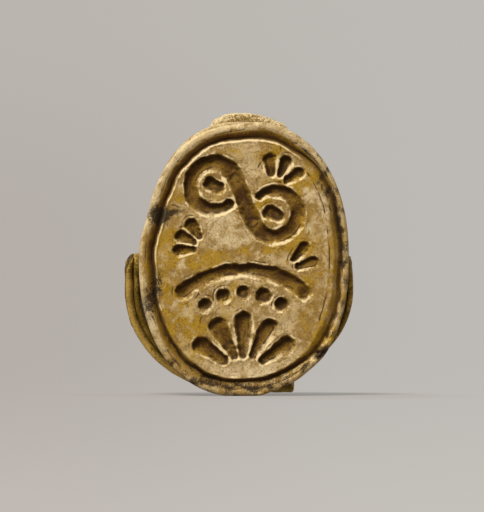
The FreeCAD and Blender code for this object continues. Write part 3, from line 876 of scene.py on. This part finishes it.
def beetle_body(stone):
    """Beetle as one closed skin round the point (0, bore height, 0).

    Each point lies at middle + r (cos e cos a, sin e, cos e sin a), where r is the outermost
    zero of the beetle's field on that ray. Lines are then pressed in along the rays.
    """
    rows = np.radians(np.concatenate([np.linspace(-88, -26, 12), np.linspace(-25, 16, 62),
                                      np.linspace(17, 88.6, 70)]))
    base = np.linspace(0, 2 * math.pi, BODY_COLUMNS, endpoint=False)
    e, a = np.meshgrid(rows, base + 0.2 * np.sin(2 * base), indexing="ij")
    way = np.stack([np.cos(e) * np.cos(a), np.sin(e), np.cos(e) * np.sin(a)])
    middle = (0.0, BORE_Y, 0.0)
    radius = trace_outwards(way, beetle_field, middle)
    x, y, z = [middle[i] + radius * way[i] for i in range(3)]

    over = smooth_step(y, FLANK_TOP + 0.1, FLANK_TOP + 0.9)
    waist = soft_line(z - WAIST, 0.17) * over * smooth_step(np.abs(x), 7.2, 6.6)
    cases = soft_line(x, 0.16) * over * smooth_step(z, WAIST + 0.1, WAIST - 0.1)
    nick = soft_line(np.abs(x) - 5.6 - 0.5 * (WAIST - z), 0.14) * over \
        * window(z, WAIST - 1.5, WAIST - 1.0, WAIST - 0.2, WAIST)
    lines = np.clip(waist + cases + 0.7 * nick, 0, 1)
    foot = 0.5 * soft_line(y - FLANK_TOP, 0.12) * smooth_step(z, NECK, NECK - 1)
    edges = np.max([soft_line(distance - width - 0.05, 0.11)
                    for distance, width in leg_lines(y, z)], axis=0)
    edges = edges * smooth_step(y, FLANK_TOP, FLANK_TOP - 0.3) * smooth_step(np.abs(x), 2.0, 4.0)
    bore = smooth_step(np.hypot(x, y - BORE_Y), BORE + 0.12, BORE - 0.16) \
        * smooth_step(np.abs(z), 5.0, 7.0)
    swells = stone.relief * np.clip(0.5 + 0.5 * swell(x, y, z, 3.0, 21), 0, 1.3)
    grain = GRAIN_DEEP * np.clip(0.5 + 0.5 * swell(x, y, z, 0.8, 22), 0, 1.5)
    ragged = RAGGED_DEEP * smooth_step(z, 10.6, 11.4) * (1 + swell(x, y, z, 1.3, 23))
    pressed = CUT_DEEP * lines + FOOT_DEEP * foot + LEG_EDGE_DEEP * edges + BORE_DEEP * bore \
        + swells + grain + np.maximum(ragged, 0)
    radius = radius - pressed * smooth_step(y, BODY_BOTTOM, BODY_BOTTOM + 0.3)

    rings = np.stack([middle[i] + radius * way[i] for i in range(3)], axis=-1)
    poles = np.array([[0, rings[0, :, 1].mean(), 0], [0, rings[-1, :, 1].mean(), 0]])
    piece = closed_tube("beetle_body", rings, poles, flip=True)
    brow = 0.62 * smooth_step(z, 10.0, 10.8)
    store_mask(piece, "cut", np.clip(lines + foot + 0.7 * edges + 2 * bore + brow, 0, 1.3))
    store_mask(piece, "hollow", np.clip(4 * (blurred(radius, 5) - radius), -2, 2))
    store_mask(piece, "fine", np.clip(12 * (blurred(radius, 2) - radius), -2, 2))
    store_mask(piece, "halo", (), 0.2)
    store_lamp_facing(piece)
    store_stains(piece, np.concatenate([rings.reshape(-1, 3), poles]))
    return piece


# Swing hoop

# Thinnest skin that the worn corners leave of a strap
SKIN = 0.03
STRAP_SIDES = 56
# Power of the section across the breadth: nearly straight sides with round corners
SECTION_POWER = 6


def hoop_points(x, reach):
    """Points of the hoop's middle plane, from x and the reach from the pivot to the foot."""
    return PIVOT * (0, 1, 1) + np.outer(x, (1, 0, 0)) + np.outer(reach, REACH_WAY)


def quarter(half_width, half_height, first, last, steps):
    """Piece of the hoop's oval: x = a cos t, reach = straight + b sin t."""
    turn = np.radians(np.linspace(first, last, steps))
    return HOOP_X + half_width * np.cos(turn), STRAIGHT + half_height * np.sin(turn)


def strap(name, x, reach, thickness, ends, free, shade, metal, seed):
    """Flat bar along a path in the hoop's plane, its outer face on the path.

    Across the path the section is |p / w|^6 + |q / h|^2 = 1, with w the half breadth and h
    the half thickness. ends gives for each point the shares of w, and how far the outer and
    the inner face are drawn in. free is -1 where only the outer face is worn, 1 for the inner.
    """
    run_x, run_r = np.gradient(x), np.gradient(reach)
    length = np.hypot(run_x, run_r)
    inwards = np.outer(run_r / length, (1, 0, 0)) + np.outer(-run_x / length, REACH_WAY)
    breadth, outer_in, inner_in = ends
    turn = np.linspace(0, 2 * math.pi, STRAP_SIDES, endpoint=False)
    p = np.sign(np.cos(turn)) * np.abs(np.cos(turn)) ** (2 / SECTION_POWER)
    q = np.sin(turn)
    half = (thickness - outer_in - inner_in) / 2
    along = np.concatenate([[0], np.cumsum(np.hypot(np.diff(x), np.diff(reach)))])
    along = along[:, None] + 0 * p
    aside = (HALF_BREADTH * breadth)[:, None] * p
    marks = metal.hammer_depth * (1 + swell(along, aside, 0 * aside + q, 1.5, seed))
    marks = marks + 0.006 * (1 + swell(along, aside, 0 * aside + q, 0.45, seed + 1))
    marks = marks * smooth_step(half, 0, 0.1)[:, None] * np.clip(free * q, 0, 1) ** 0.5
    offset = (outer_in + half)[:, None] + np.maximum(half[:, None] - marks, 0) * q
    aside = aside * (1 - 0.02 * (1 + swell(along, 0 * p, 0 * p, 2.6, seed + 3)))
    rings = (hoop_points(x, reach)[:, None, :] + offset[..., None] * inwards[:, None, :]
             + aside[..., None] * SIDE_WAY)
    piece = closed_tube(name, rings)
    # Painted shade: more film on the inner face, towards the stone
    shade = shade + 0.5 + 0.5 * q + 0 * aside
    if free < 0:
        # Painted shade: the far edge of the outer face, turning away outwards, is darker
        shade = shade + 1.5 * smooth_step(-q, 0.50, 0.95)
    store_mask(piece, "film_and_shade", shade, 1.0)
    return piece


def arm(height):
    """Reach along a straight arm, from the top of its ear to the start of the bend."""
    return np.concatenate([-height * np.cos(np.linspace(0, math.pi / 2, 30)),
                           np.linspace(0, STRAIGHT, 12)[1:]])


def ear(x, reach):
    """Round end about the pivot: share of the half breadth sqrt(1 - (r / R)^2) above it."""
    past = np.clip(-reach / np.where(x < HOOP_X, LEFT_EAR, RIGHT_EAR), 0, 1)
    return np.sqrt(np.maximum(1 - past ** 2, 0))


RIGHT_WEAR = 0.20
RIGHT_WEAR_START = 1.7
RIGHT_WEAR_LENGTH = 2.2


def right_fall(x, reach):
    """How far the outer face of the right arm is worn back near its pivot."""
    past = np.clip((RIGHT_WEAR_START - reach) / RIGHT_WEAR_LENGTH, 0, 1)
    return RIGHT_WEAR * past ** 2 * (x > HOOP_X)


def ear_fall(reach, start, thickness):
    """How far the left ear's worn elliptical corner reaches past the depth start in a strap."""
    past = np.clip((CORNER_HEIGHT - LEFT_EAR - reach) / CORNER_HEIGHT, 0, 1)
    return np.clip(CORNER_DEPTH * (1 - np.sqrt(1 - past ** 2)) - start, 0, 0.95 * thickness)


def outer_strap(metal):
    """Thick strap from the left pivot round to the foot, with a straight tongue."""
    down = arm(LEFT_EAR)
    bend_x, bend_r = quarter(-HOOP_A, HOOP_B, 0, 90, 150)
    tongue = np.concatenate([np.linspace(0, TONGUE, 46)[1:],
                             TONGUE + TIP * np.sin(np.linspace(0, math.pi / 2, 12))[1:]])
    x = np.concatenate([np.full(len(down), HOOP_X - HOOP_A), bend_x[1:], HOOP_X + tongue])
    reach = np.concatenate([down, bend_r[1:], np.full(len(tongue), FOOT_REACH)])
    past = np.clip((x - HOOP_X - TONGUE) / TIP, 0, 1)
    rounding = 0.95 * TIP * (1 - np.sqrt(np.maximum(1 - past ** 2, 0)))
    breadth = ear(x, reach) * np.sqrt(np.maximum(1 - past ** 8, 0))
    outer_in = SKIN / 2 + ear_fall(reach, 0, OUTER_THICKNESS - SKIN) + rounding
    # Painted shade: more film towards the top of the ear
    shade = 1.1 * smooth_step(reach, 1.4, -0.4)[:, None]
    return strap("hoop_outer_band", x, reach, OUTER_THICKNESS, (breadth, outer_in, rounding),
                 -1, shade, metal, 31)


def inner_strap(metal):
    """Thin strap from the left pivot down, round the foot and up to the right pivot."""
    down, up = arm(LEFT_EAR), arm(RIGHT_EAR)[::-1]
    height = HOOP_B - LAP
    left_x, left_r = quarter(HOOP_A - LAP, height, 180, 90, 120)
    right_x, right_r = quarter(HOOP_A, height, 90, 0, 120)
    x = np.concatenate([np.full(len(down) - 1, HOOP_X - HOOP_A + LAP), left_x, right_x[1:-1],
                        np.full(len(up), HOOP_X + HOOP_A)])
    reach = np.concatenate([down[:-1], left_r, right_r[1:-1], up])
    worn = ear_fall(reach, OUTER_THICKNESS, INNER_THICKNESS - SKIN) * (x < HOOP_X)
    ends = (ear(x, reach), right_fall(x, reach) + worn, 0 * reach)
    # Painted shade: a little more film on the left half, behind the outer strap
    return strap("hoop_inner_band", x, reach, INNER_THICKNESS, ends, 1,
                 np.where(x < 0, 1.0, 0.9)[:, None], metal, 41)


PIN_SIDES = 48
PIN_STEPS = 12
PIN_BLIND_RADIUS = 0.30
PIN_SHANK = 0.40
PIN_HEAD_DEPTH = 0.16
# Head radius, how far the head is sunk, and grime
PIN_HEADS = {"left": (0.42, 0.08, 0.6), "right": (0.50, 0.10, 1.6)}


def pivot_pin(side):
    """Turned pin along X: radius R(s) from the blind end to a low domed head.

    The head's radius falls as sqrt(1 - t^2), with t from its foot to its crown.
    """
    low, high = node_box(side + "_pivot_pin")
    way = -1 if side == "left" else 1
    blind, face = (high[0], low[0]) if way < 0 else (low[0], high[0])
    head, sunk, grime = PIN_HEADS[side]
    foot = face - way * (sunk + PIN_HEAD_DEPTH)
    crown = np.linspace(0, math.pi / 2, PIN_STEPS)
    x = np.concatenate([[blind, blind + way * 0.1],
                        np.linspace(blind + way * 0.3, foot, PIN_STEPS),
                        foot + way * PIN_HEAD_DEPTH * np.sin(crown)])
    radius = np.concatenate([[PIN_BLIND_RADIUS], np.full(PIN_STEPS + 1, PIN_SHANK),
                             head * np.cos(crown) ** 0.7 + 0.002])
    turn = np.linspace(0, 2 * math.pi, PIN_SIDES, endpoint=False)
    around = np.stack([0 * turn, np.cos(turn), np.sin(turn)], axis=-1)
    rings = (x[:, None, None] * np.array((1, 0, 0)) + PIVOT * (0, 1, 1)
             + radius[:, None, None] * around)
    piece = closed_tube("turned_pin_" + side, rings, flip=way < 0)
    store_mask(piece, "film_and_shade", (), grime)
    return piece


# Node helpers


def link(tree, source, target):
    """Leads a socket to an input socket, or sets a plain value on it."""
    if isinstance(source, bpy.types.NodeSocket):
        tree.links.new(source, target)
    else:
        target.default_value = source


def node(tree, kind, **values):
    """New node with its properties and, under their socket names, its input values set."""
    new = tree.nodes.new(kind)
    for name, value in values.items():
        if hasattr(new, name):
            setattr(new, name, value)
        else:
            new.inputs[name.replace("_", " ")].default_value = value
    return new


def math_node(tree, operation, first, second=0.0, clamp=False):
    """Math node whose inputs are sockets or numbers; gives its output socket."""
    new = node(tree, "ShaderNodeMath", operation=operation, use_clamp=clamp)
    link(tree, first, new.inputs[0])
    link(tree, second, new.inputs[1])
    return new.outputs[0]


def vector_node(tree, operation, first, **values):
    """Vector Math node on one socket; gives the node."""
    new = node(tree, "ShaderNodeVectorMath", operation=operation, **values)
    link(tree, first, new.inputs[0])
    return new


def weighted_sum(tree, *terms):
    """Sum of factor x (value - centre) over terms of value, factor and, if not 0, centre."""
    total = None
    for value, factor, *centre in terms:
        if centre:
            value = math_node(tree, "SUBTRACT", value, centre[0])
        if factor != 1:
            value = math_node(tree, "MULTIPLY", value, factor)
        total = value if total is None else math_node(tree, "ADD", total, value)
    return total


def colour_mix(tree, factor, first, second, blend="MIX"):
    """Mix of two colours, sockets or values, by a factor that may be a socket."""
    new = node(tree, "ShaderNodeMix", data_type="RGBA", blend_type=blend, clamp_factor=True)
    for place, value in ((0, factor), (6, first), (7, second)):
        link(tree, value, new.inputs[place])
    return new.outputs[2]


def step_between(tree, value, low, high):
    """Map Range node, smooth, from 0 at low to 1 at high."""
    new = node(tree, "ShaderNodeMapRange", interpolation_type="SMOOTHSTEP", From_Min=low,
               From_Max=high)
    link(tree, value, new.inputs["Value"])
    return new.outputs["Result"]


def paint_over(tree, colour, paint, mask, low, high, strength=1.0):
    """Paint laid over a colour where a mask climbs from low to high."""
    share = step_between(tree, mask, low, high)
    if strength < 1:
        share = math_node(tree, "MULTIPLY", share, strength)
    return colour_mix(tree, share, colour, paint)


def noise(tree, place, scale, detail=3.0, rough=0.55, warp=0.0):
    new = node(tree, "ShaderNodeTexNoise", Scale=scale, Detail=detail, Roughness=rough,
               Distortion=warp)
    link(tree, place, new.inputs["Vector"])
    return new.outputs["Fac"]


def new_group(name, inputs, outputs):
    """Empty node group with the named sockets; gives the tree and its two end nodes."""
    tree = bpy.data.node_groups.new(name, "ShaderNodeTree")
    kinds = {"colour": "NodeSocketColor", "value": "NodeSocketFloat",
             "vector": "NodeSocketVector"}
    for title, kind in inputs:
        tree.interface.new_socket(title, in_out="INPUT", socket_type=kinds[kind])
    for title, kind in outputs:
        tree.interface.new_socket(title, in_out="OUTPUT", socket_type=kinds[kind])
    return tree, tree.nodes.new("NodeGroupInput"), tree.nodes.new("NodeGroupOutput")


def millimetre_place(tree):
    """Object coordinates in millimetres."""
    source = tree.nodes.new("ShaderNodeTexCoord")
    return vector_node(tree, "SCALE", source.outputs["Object"], Scale=1 / MM).outputs[0]


def attribute_value(tree, name):
    return node(tree, "ShaderNodeAttribute", attribute_type="GEOMETRY",
                attribute_name=name).outputs["Fac"]


def new_material(name):
    """New material: itself, its node tree and its shader."""
    material = bpy.data.materials.new(name)
    material.use_nodes = True
    return material, material.node_tree, material.node_tree.nodes["Principled BSDF"]


def worn_finish(tree, group, shader, strength, distance):
    """Leads a group's colour and roughness, and its height as a bump, to the shader."""
    bump = node(tree, "ShaderNodeBump", Strength=strength, Distance=distance)
    link(tree, group.outputs["Height"], bump.inputs["Height"])
    link(tree, bump.outputs["Normal"], shader.inputs["Normal"])
    link(tree, group.outputs["Color"], shader.inputs["Base Color"])
    link(tree, group.outputs["Roughness"], shader.inputs["Roughness"])


# Materials

FINISH = [("Color", "colour"), ("Roughness", "value"), ("Height", "value")]
STONE_MASKS = {"Cut": "cut", "Hollow": "hollow", "Fine": "fine", "Lamp_Facing": "lamp_facing",
               "Halo": "halo", "Stain": "ochre", "Crust_And_Shade": "crust_and_shade"}
STONE_PAINTS = ("cream", "buff", "ochre", "brown", "deep", "black", "lip_and_highlight")
METAL_PAINTS = ("bright", "patina", "grime")


def paint_sockets(paints):
    return [(paint.title(), "colour") for paint in paints]


def set_paints(group, paints, settings):
    """Sets a group's colours from the properties of the same names."""
    for paint in paints:
        group.inputs[paint.title()].default_value = getattr(settings, paint)


def weathered_and_lit_stone_group():
    """Stains, dirt and rubbed edges of old stone, with painted highlight and painted shade, from
    masks of the piece.
    """
    tree, start, end = new_group(
        "weathered_and_lit_stone",
        [("Place", "vector")] + [(mask, "value") for mask in STONE_MASKS]
        + paint_sockets(STONE_PAINTS), FINISH)
    given = start.outputs
    place, cut, fine, halo = [given[name] for name in ("Place", "Cut", "Fine", "Halo")]
    cloud = noise(tree, place, 0.42, 5.0, 0.62, 0.3)
    mottle = noise(tree, place, 1.5, 6.0, 0.62, 0.5)
    speck = noise(tree, place, 7.5, 3.0, 0.6)
    pit = noise(tree, place, 11.0, 2.0, 0.5)
    grit = noise(tree, place, 12.0, 2.0, 0.6)
    grain = noise(tree, place, 22.0, 2.0, 0.6)

    # Cream and buff stone, yellow stains, lighter and duller specks, dark pits
    pale = weighted_sum(tree, (mottle, 0.55), (cloud, 0.45), (given["Stain"], -0.13),
                        (halo, -0.14))
    colour = paint_over(tree, given["Buff"], given["Cream"], pale, 0.40, 0.58)
    yellow = weighted_sum(tree, (given["Stain"], 1), (cloud, 3.5, 0.53), (mottle, 1.6, 0.5),
                          (speck, 0.6, 0.5), (halo, 0.7))
    colour = paint_over(tree, colour, given["Ochre"], yellow, -0.1, 0.7, 0.92)
    light = colour_mix(tree, 1.0, colour, (1.12, 1.12, 1.14, 1), "MULTIPLY")
    colour = paint_over(tree, colour, light, speck, 0.50, 0.62)
    dull = colour_mix(tree, 1.0, colour, (0.62, 0.53, 0.40, 1), "MULTIPLY")
    stain = weighted_sum(tree, (halo, 0.22), (speck, -1.0), (mottle, 0.5, 0.5))
    colour = paint_over(tree, colour, dull, stain, -0.46, -0.30)
    colour = paint_over(tree, colour, given["Brown"], pit, 0.62, 0.70, 0.55)

    # Rubbed edges where the surface stands out, with a painted highlight where it faces up and left
    # towards the lamp
    rubbed_and_lit = weighted_sum(tree, (given["Lamp_Facing"], 1.2), (given["Hollow"], -0.75),
                          (speck, 1.6, 0.5), (mottle, 2.4, 0.5), (fine, -0.35))
    colour = paint_over(tree, colour, given["Lip_And_Highlight"], rubbed_and_lit, 0.62, 1.7, 0.85)

    # Dirt in the cuts with painted shade on the walls turned away from the lamp, deeper in their
    # narrow lines, and the hard crust with painted shade on the right and bottom of the rim
    dirt_and_shade = weighted_sum(tree, (cut, 1), (given["Lamp_Facing"], -1.0), (mottle, 0.9, 0.5),
                        (speck, 2.2, 0.5))
    dirt_and_shade = math_node(tree, "MULTIPLY", dirt_and_shade, step_between(tree, cut, 0.02, 0.3))
    dirt_and_shade_colour = colour_mix(tree, 0.45, given["Ochre"], given["Brown"])
    colour = paint_over(tree, colour, dirt_and_shade_colour, dirt_and_shade, 0.05, 0.55, 0.9)
    colour = paint_over(tree, colour, given["Brown"], dirt_and_shade, 0.42, 1.05, 0.94)
    pepper = math_node(tree, "MULTIPLY", step_between(tree, grit, 0.48, 0.60),
                       step_between(tree, cut, 0.15, 0.7))
    pepper = math_node(tree, "MULTIPLY", pepper, 0.55)
    colour = colour_mix(tree, pepper, colour, given["Deep"])
    colour = paint_over(tree, colour, given["Deep"], fine, 0.15, 1.0, 0.85)
    # Hard crust, together with the painted shade on the right side and bottom of the rim
    crust_and_shade = weighted_sum(tree, (given["Crust_And_Shade"], 1), (speck, 1.6, 0.5), (grit, 2.2, 0.5))
    crust_and_shade = math_node(tree, "MULTIPLY", crust_and_shade, step_between(tree, given["Crust_And_Shade"], 0.05, 0.3))
    colour = paint_over(tree, colour, given["Black"], crust_and_shade, 0.30, 0.85, 0.92)
    link(tree, colour, end.inputs["Color"])

    rough = weighted_sum(tree, (grain, 0.18), (step_between(tree, crust_and_shade, 0.30, 0.85), 0.4),
                         (cut, 0.22))
    link(tree, math_node(tree, "ADD", rough, 0.40, clamp=True), end.inputs["Roughness"])
    height = weighted_sum(tree, (speck, 0.7), (grain, 0.35),
                          (step_between(tree, pit, 0.58, 0.72), -0.5))
    link(tree, height, end.inputs["Height"])
    return tree


def stone_material(stone):
    """Old buff stone with a dull wax-like sheen."""
    material, tree, shader = new_material("carved_stone")
    group = node(tree, "ShaderNodeGroup", node_tree=weathered_and_lit_stone_group())
    link(tree, millimetre_place(tree), group.inputs["Place"])
    for socket, attribute in STONE_MASKS.items():
        link(tree, attribute_value(tree, attribute), group.inputs[socket])
    set_paints(group, STONE_PAINTS, stone)
    worn_finish(tree, group, shader, 0.9, 0.11 * MM)
    shader.inputs["Specular IOR Level"].default_value = 0.16
    return material


def metal_film_and_shade_group():
    """Patina, rubbed spots and pits of old metal, and the painted shade that comes in with the
    film.
    """
    tree, start, end = new_group(
        "metal_film_and_shade", [("Place", "vector"), ("Film_And_Shade", "value")] + paint_sockets(METAL_PAINTS),
        FINISH)
    given = start.outputs
    cloud = noise(tree, given["Place"], 0.8, 5.0, 0.6, 0.3)
    pits = noise(tree, given["Place"], 6.0, 4.0, 0.65)
    fine = noise(tree, given["Place"], 24.0, 2.0, 0.6)
    film_and_shade = weighted_sum(tree, (given["Film_And_Shade"], 1), (cloud, 1.8, 0.5), (pits, 0.7, 0.5))
    colour = paint_over(tree, given["Bright"], given["Patina"], film_and_shade, 0.1, 0.9)
    # Dark dirt in the pits, spreading further where film and painted shade are high
    grime = weighted_sum(tree, (pits, 1), (given["Film_And_Shade"], 0.16))
    colour = paint_over(tree, colour, given["Grime"], grime, 0.58, 0.80, 0.88)
    link(tree, colour, end.inputs["Color"])
    rough = weighted_sum(tree, (pits, 0.16), (step_between(tree, film_and_shade, 0.1, 0.9), 0.16))
    link(tree, math_node(tree, "ADD", rough, 0.46, clamp=True), end.inputs["Roughness"])
    height = weighted_sum(tree, (cloud, 1), (pits, 0.45), (fine, 0.08))
    link(tree, height, end.inputs["Height"])
    return tree


def metal_material(name, metal, group_tree, film_and_shade):
    """Golden alloy under an olive film with painted shade; film_and_shade adds to the patina all
    over.
    """
    material, tree, shader = new_material(name)
    group = node(tree, "ShaderNodeGroup", node_tree=group_tree)
    link(tree, millimetre_place(tree), group.inputs["Place"])
    mask = math_node(tree, "MULTIPLY", attribute_value(tree, "film_and_shade"), 0.55)
    link(tree, math_node(tree, "ADD", mask, film_and_shade), group.inputs["Film_And_Shade"])
    set_paints(group, METAL_PAINTS, metal)
    worn_finish(tree, group, shader, 0.5, 0.05 * MM)
    shader.inputs["Metallic"].default_value = 0.55
    shader.inputs["Specular IOR Level"].default_value = 0.25
    return material


def dress(piece, material):
    """Gives a piece one material on every slot."""
    slots = piece.material_slots
    if len(slots) == 0:
        piece.data.materials.append(material)
    for slot in slots:
        slot.material = material


# Stage

# Colours of the paper at the left and the right, from low down to high up
PAPER_LOW = ((195, 188, 182), (197, 194, 187))
PAPER_MIDDLE = ((181, 174, 168), (189, 186, 182))
PAPER_HIGH = ((186, 181, 175), (189, 186, 181))
FLOOR_SIZE = 3.0
CAMERA_X = -0.143 * MM
CAMERA_Z = 0.222 * MM
LAMP_PLACE = (-0.17, -0.36, 0.40)
LAMP_SIZE = 0.24


def backdrop_group():
    """Shade of the paper by the way it is seen in: lighter low down and to the right."""
    tree, start, end = new_group("paper_shade", [("Way", "vector")], [("Color", "colour")])
    split = tree.nodes.new("ShaderNodeSeparateXYZ")
    link(tree, start.outputs["Way"], split.inputs[0])
    right = step_between(tree, split.outputs["X"], -0.036, 0.036)
    low, middle, high = [colour_mix(tree, right, linear(*left), linear(*other))
                         for left, other in (PAPER_LOW, PAPER_MIDDLE, PAPER_HIGH)]
    colour = paint_over(tree, low, middle, split.outputs["Z"], -0.040, -0.010)
    colour = paint_over(tree, colour, high, split.outputs["Z"], 0.0, 0.034)
    link(tree, colour, end.inputs["Color"])
    return tree


def seen_rays(tree):
    """1 for rays of the camera, of reflections and of refractions, else 0."""
    path = tree.nodes.new("ShaderNodeLightPath")
    seen = math_node(tree, "MAXIMUM", path.outputs["Is Camera Ray"],
                     path.outputs["Is Glossy Ray"])
    return math_node(tree, "MAXIMUM", seen, path.outputs["Is Transmission Ray"])


def shader_mix(tree, share, first, second, target):
    """Mix of two shaders, led to the surface of an output node."""
    mix = node(tree, "ShaderNodeMixShader")
    for place, source in enumerate((share, first, second)):
        link(tree, source, mix.inputs[place])
    link(tree, mix.outputs[0], tree.nodes[target].inputs["Surface"])


def paper_floor(stage, shade):
    """Wide floor that keeps the object's shadow near it and fades to plain paper further out."""
    corners = np.array([(-1, -1), (1, -1), (1, 1), (-1, 1)]) * FLOOR_SIZE / MM
    points = np.column_stack([corners, np.full(4, STAND_LEVEL)])
    floor = build_mesh("paper_floor", points, np.array([[0, 1, 2, 3]]))
    material, tree, shader = new_material("paper")
    shader.inputs["Base Color"].default_value = stage.paper
    shader.inputs["Roughness"].default_value = 0.9
    shader.inputs["Specular IOR Level"].default_value = 0.0
    place = tree.nodes.new("ShaderNodeTexCoord").outputs["Object"]
    away = vector_node(tree, "SUBTRACT", place)
    away.inputs[1].default_value = camera_place(stage)
    group = node(tree, "ShaderNodeGroup", node_tree=shade)
    link(tree, vector_node(tree, "NORMALIZE", away.outputs[0]).outputs[0], group.inputs["Way"])
    glow = tree.nodes.new("ShaderNodeEmission")
    link(tree, group.outputs["Color"], glow.inputs["Color"])
    distance = vector_node(tree, "LENGTH", place).outputs["Value"]
    veil = math_node(tree, "MAXIMUM", step_between(tree, distance, 12 * MM, 24 * MM), 0.5)
    shader_mix(tree, math_node(tree, "MULTIPLY", veil, seen_rays(tree)), shader.outputs[0],
               glow.outputs[0], "Material Output")
    dress(floor, material)


def soft_sky(stage, shade):
    """World: even soft light, with the paper's shade where it is seen."""
    world = bpy.data.worlds.new("soft_sky")
    bpy.context.scene.world = world
    world.use_nodes = True
    tree = world.node_tree
    light = tree.nodes["Background"]
    light.inputs["Color"].default_value = (1, 1, 1, 1)
    light.inputs["Strength"].default_value = stage.sky_strength
    group = node(tree, "ShaderNodeGroup", node_tree=shade)
    link(tree, tree.nodes.new("ShaderNodeTexCoord").outputs["Generated"], group.inputs["Way"])
    paper = tree.nodes.new("ShaderNodeBackground")
    link(tree, group.outputs["Color"], paper.inputs["Color"])
    shader_mix(tree, seen_rays(tree), light.outputs[0], paper.outputs[0], "World Output")


def soft_box(name, place, size, power):
    """Square lamp at a place, facing the object."""
    data = bpy.data.lights.new(name, "AREA")
    data.shape = "SQUARE"
    data.size = size
    data.energy = power
    lamp = bpy.data.objects.new(name, data)
    lamp.location = place
    lamp.rotation_euler = Vector(place).to_track_quat("Z", "Y").to_euler()
    bpy.context.scene.collection.objects.link(lamp)


def camera_place(stage):
    return CAMERA_X, -stage.eye_distance, CAMERA_Z


def camera(stage):
    data = bpy.data.cameras.new("front")
    data.lens = stage.lens
    data.sensor_width = 36
    data.clip_start = 0.05
    data.clip_end = 20
    view = bpy.data.objects.new("front", data)
    view.location = camera_place(stage)
    view.rotation_euler = (math.pi / 2, 0, 0)
    bpy.context.scene.collection.objects.link(view)
    bpy.context.scene.camera = view


def attach(piece, material, body, replaced):
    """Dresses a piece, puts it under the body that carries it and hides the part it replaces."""
    dress(piece, material)
    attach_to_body(piece, body)
    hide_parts(replaced)


class SCARAB_OT_stage(bpy.types.Operator):
    """Makes the camera, the lamp, the sky and the floor"""

    bl_idname = "scarab.stage"
    bl_label = "Stage"

    def execute(self, context):
        stage = context.scene.scarab_stage
        shade = backdrop_group()
        soft_sky(stage, shade)
        paper_floor(stage, shade)
        soft_box("key_lamp", LAMP_PLACE, LAMP_SIZE, stage.key_power)
        camera(stage)
        context.scene.view_settings.view_transform = "Standard"
        return {"FINISHED"}


class SCARAB_OT_stone(bpy.types.Operator):
    """Makes the carved base and the beetle of the stone"""

    bl_idname = "scarab.stone"
    bl_label = "Stone"

    def execute(self, context):
        stone = context.scene.scarab_stone
        material = stone_material(stone)
        for piece in (seal_base(stone), beetle_body(stone)):
            attach(piece, material, "stone", "scarab_body")
        return {"FINISHED"}


class SCARAB_OT_hoop(bpy.types.Operator):
    """Makes the two straps of the hoop and its pins, and dresses the collars and rivets"""

    bl_idname = "scarab.hoop"
    bl_label = "Hoop"

    def execute(self, context):
        metal = context.scene.scarab_hoop
        group = metal_film_and_shade_group()
        material = metal_material("hoop_metal", metal, group, 0.05)
        attach(outer_strap(metal), material, "hoop", "hoop_outer_strap")
        attach(inner_strap(metal), material, "hoop", "hoop_inner_strap")
        small = metal_material("pivot_metal", metal, group, 0.35)
        for side in ("left", "right"):
            attach(pivot_pin(side), small, "stone", side + "_pivot_pin")
        for name in ("left_collar", "right_collar", "upper_lap_rivet", "lower_lap_rivet"):
            dress(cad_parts[name], small)
        return {"FINISHED"}


class SCARAB_PT_panel(bpy.types.Panel):
    """Lists the steps that dress the scarab"""

    bl_idname = "SCARAB_PT_panel"
    bl_label = "Scarab"
    bl_space_type = "VIEW_3D"
    bl_region_type = "UI"
    bl_category = "Scarab"

    def draw(self, context):
        for operator in OPERATORS:
            self.layout.operator(operator.bl_idname)


OPERATORS = (SCARAB_OT_stage, SCARAB_OT_stone, SCARAB_OT_hoop)
CLASSES = tuple(SETTINGS.values()) + OPERATORS + (SCARAB_PT_panel,)


def register():
    for item in CLASSES:
        bpy.utils.register_class(item)
    for name, settings in SETTINGS.items():
        setattr(bpy.types.Scene, name, PointerProperty(type=settings))


def unregister():
    for name in SETTINGS:
        delattr(bpy.types.Scene, name)
    for item in reversed(CLASSES):
        bpy.utils.unregister_class(item)


def main():
    register()
    bpy.ops.scarab.stage()
    bpy.ops.scarab.stone()
    bpy.ops.scarab.hoop()


if __name__ == "__main__":
    main()
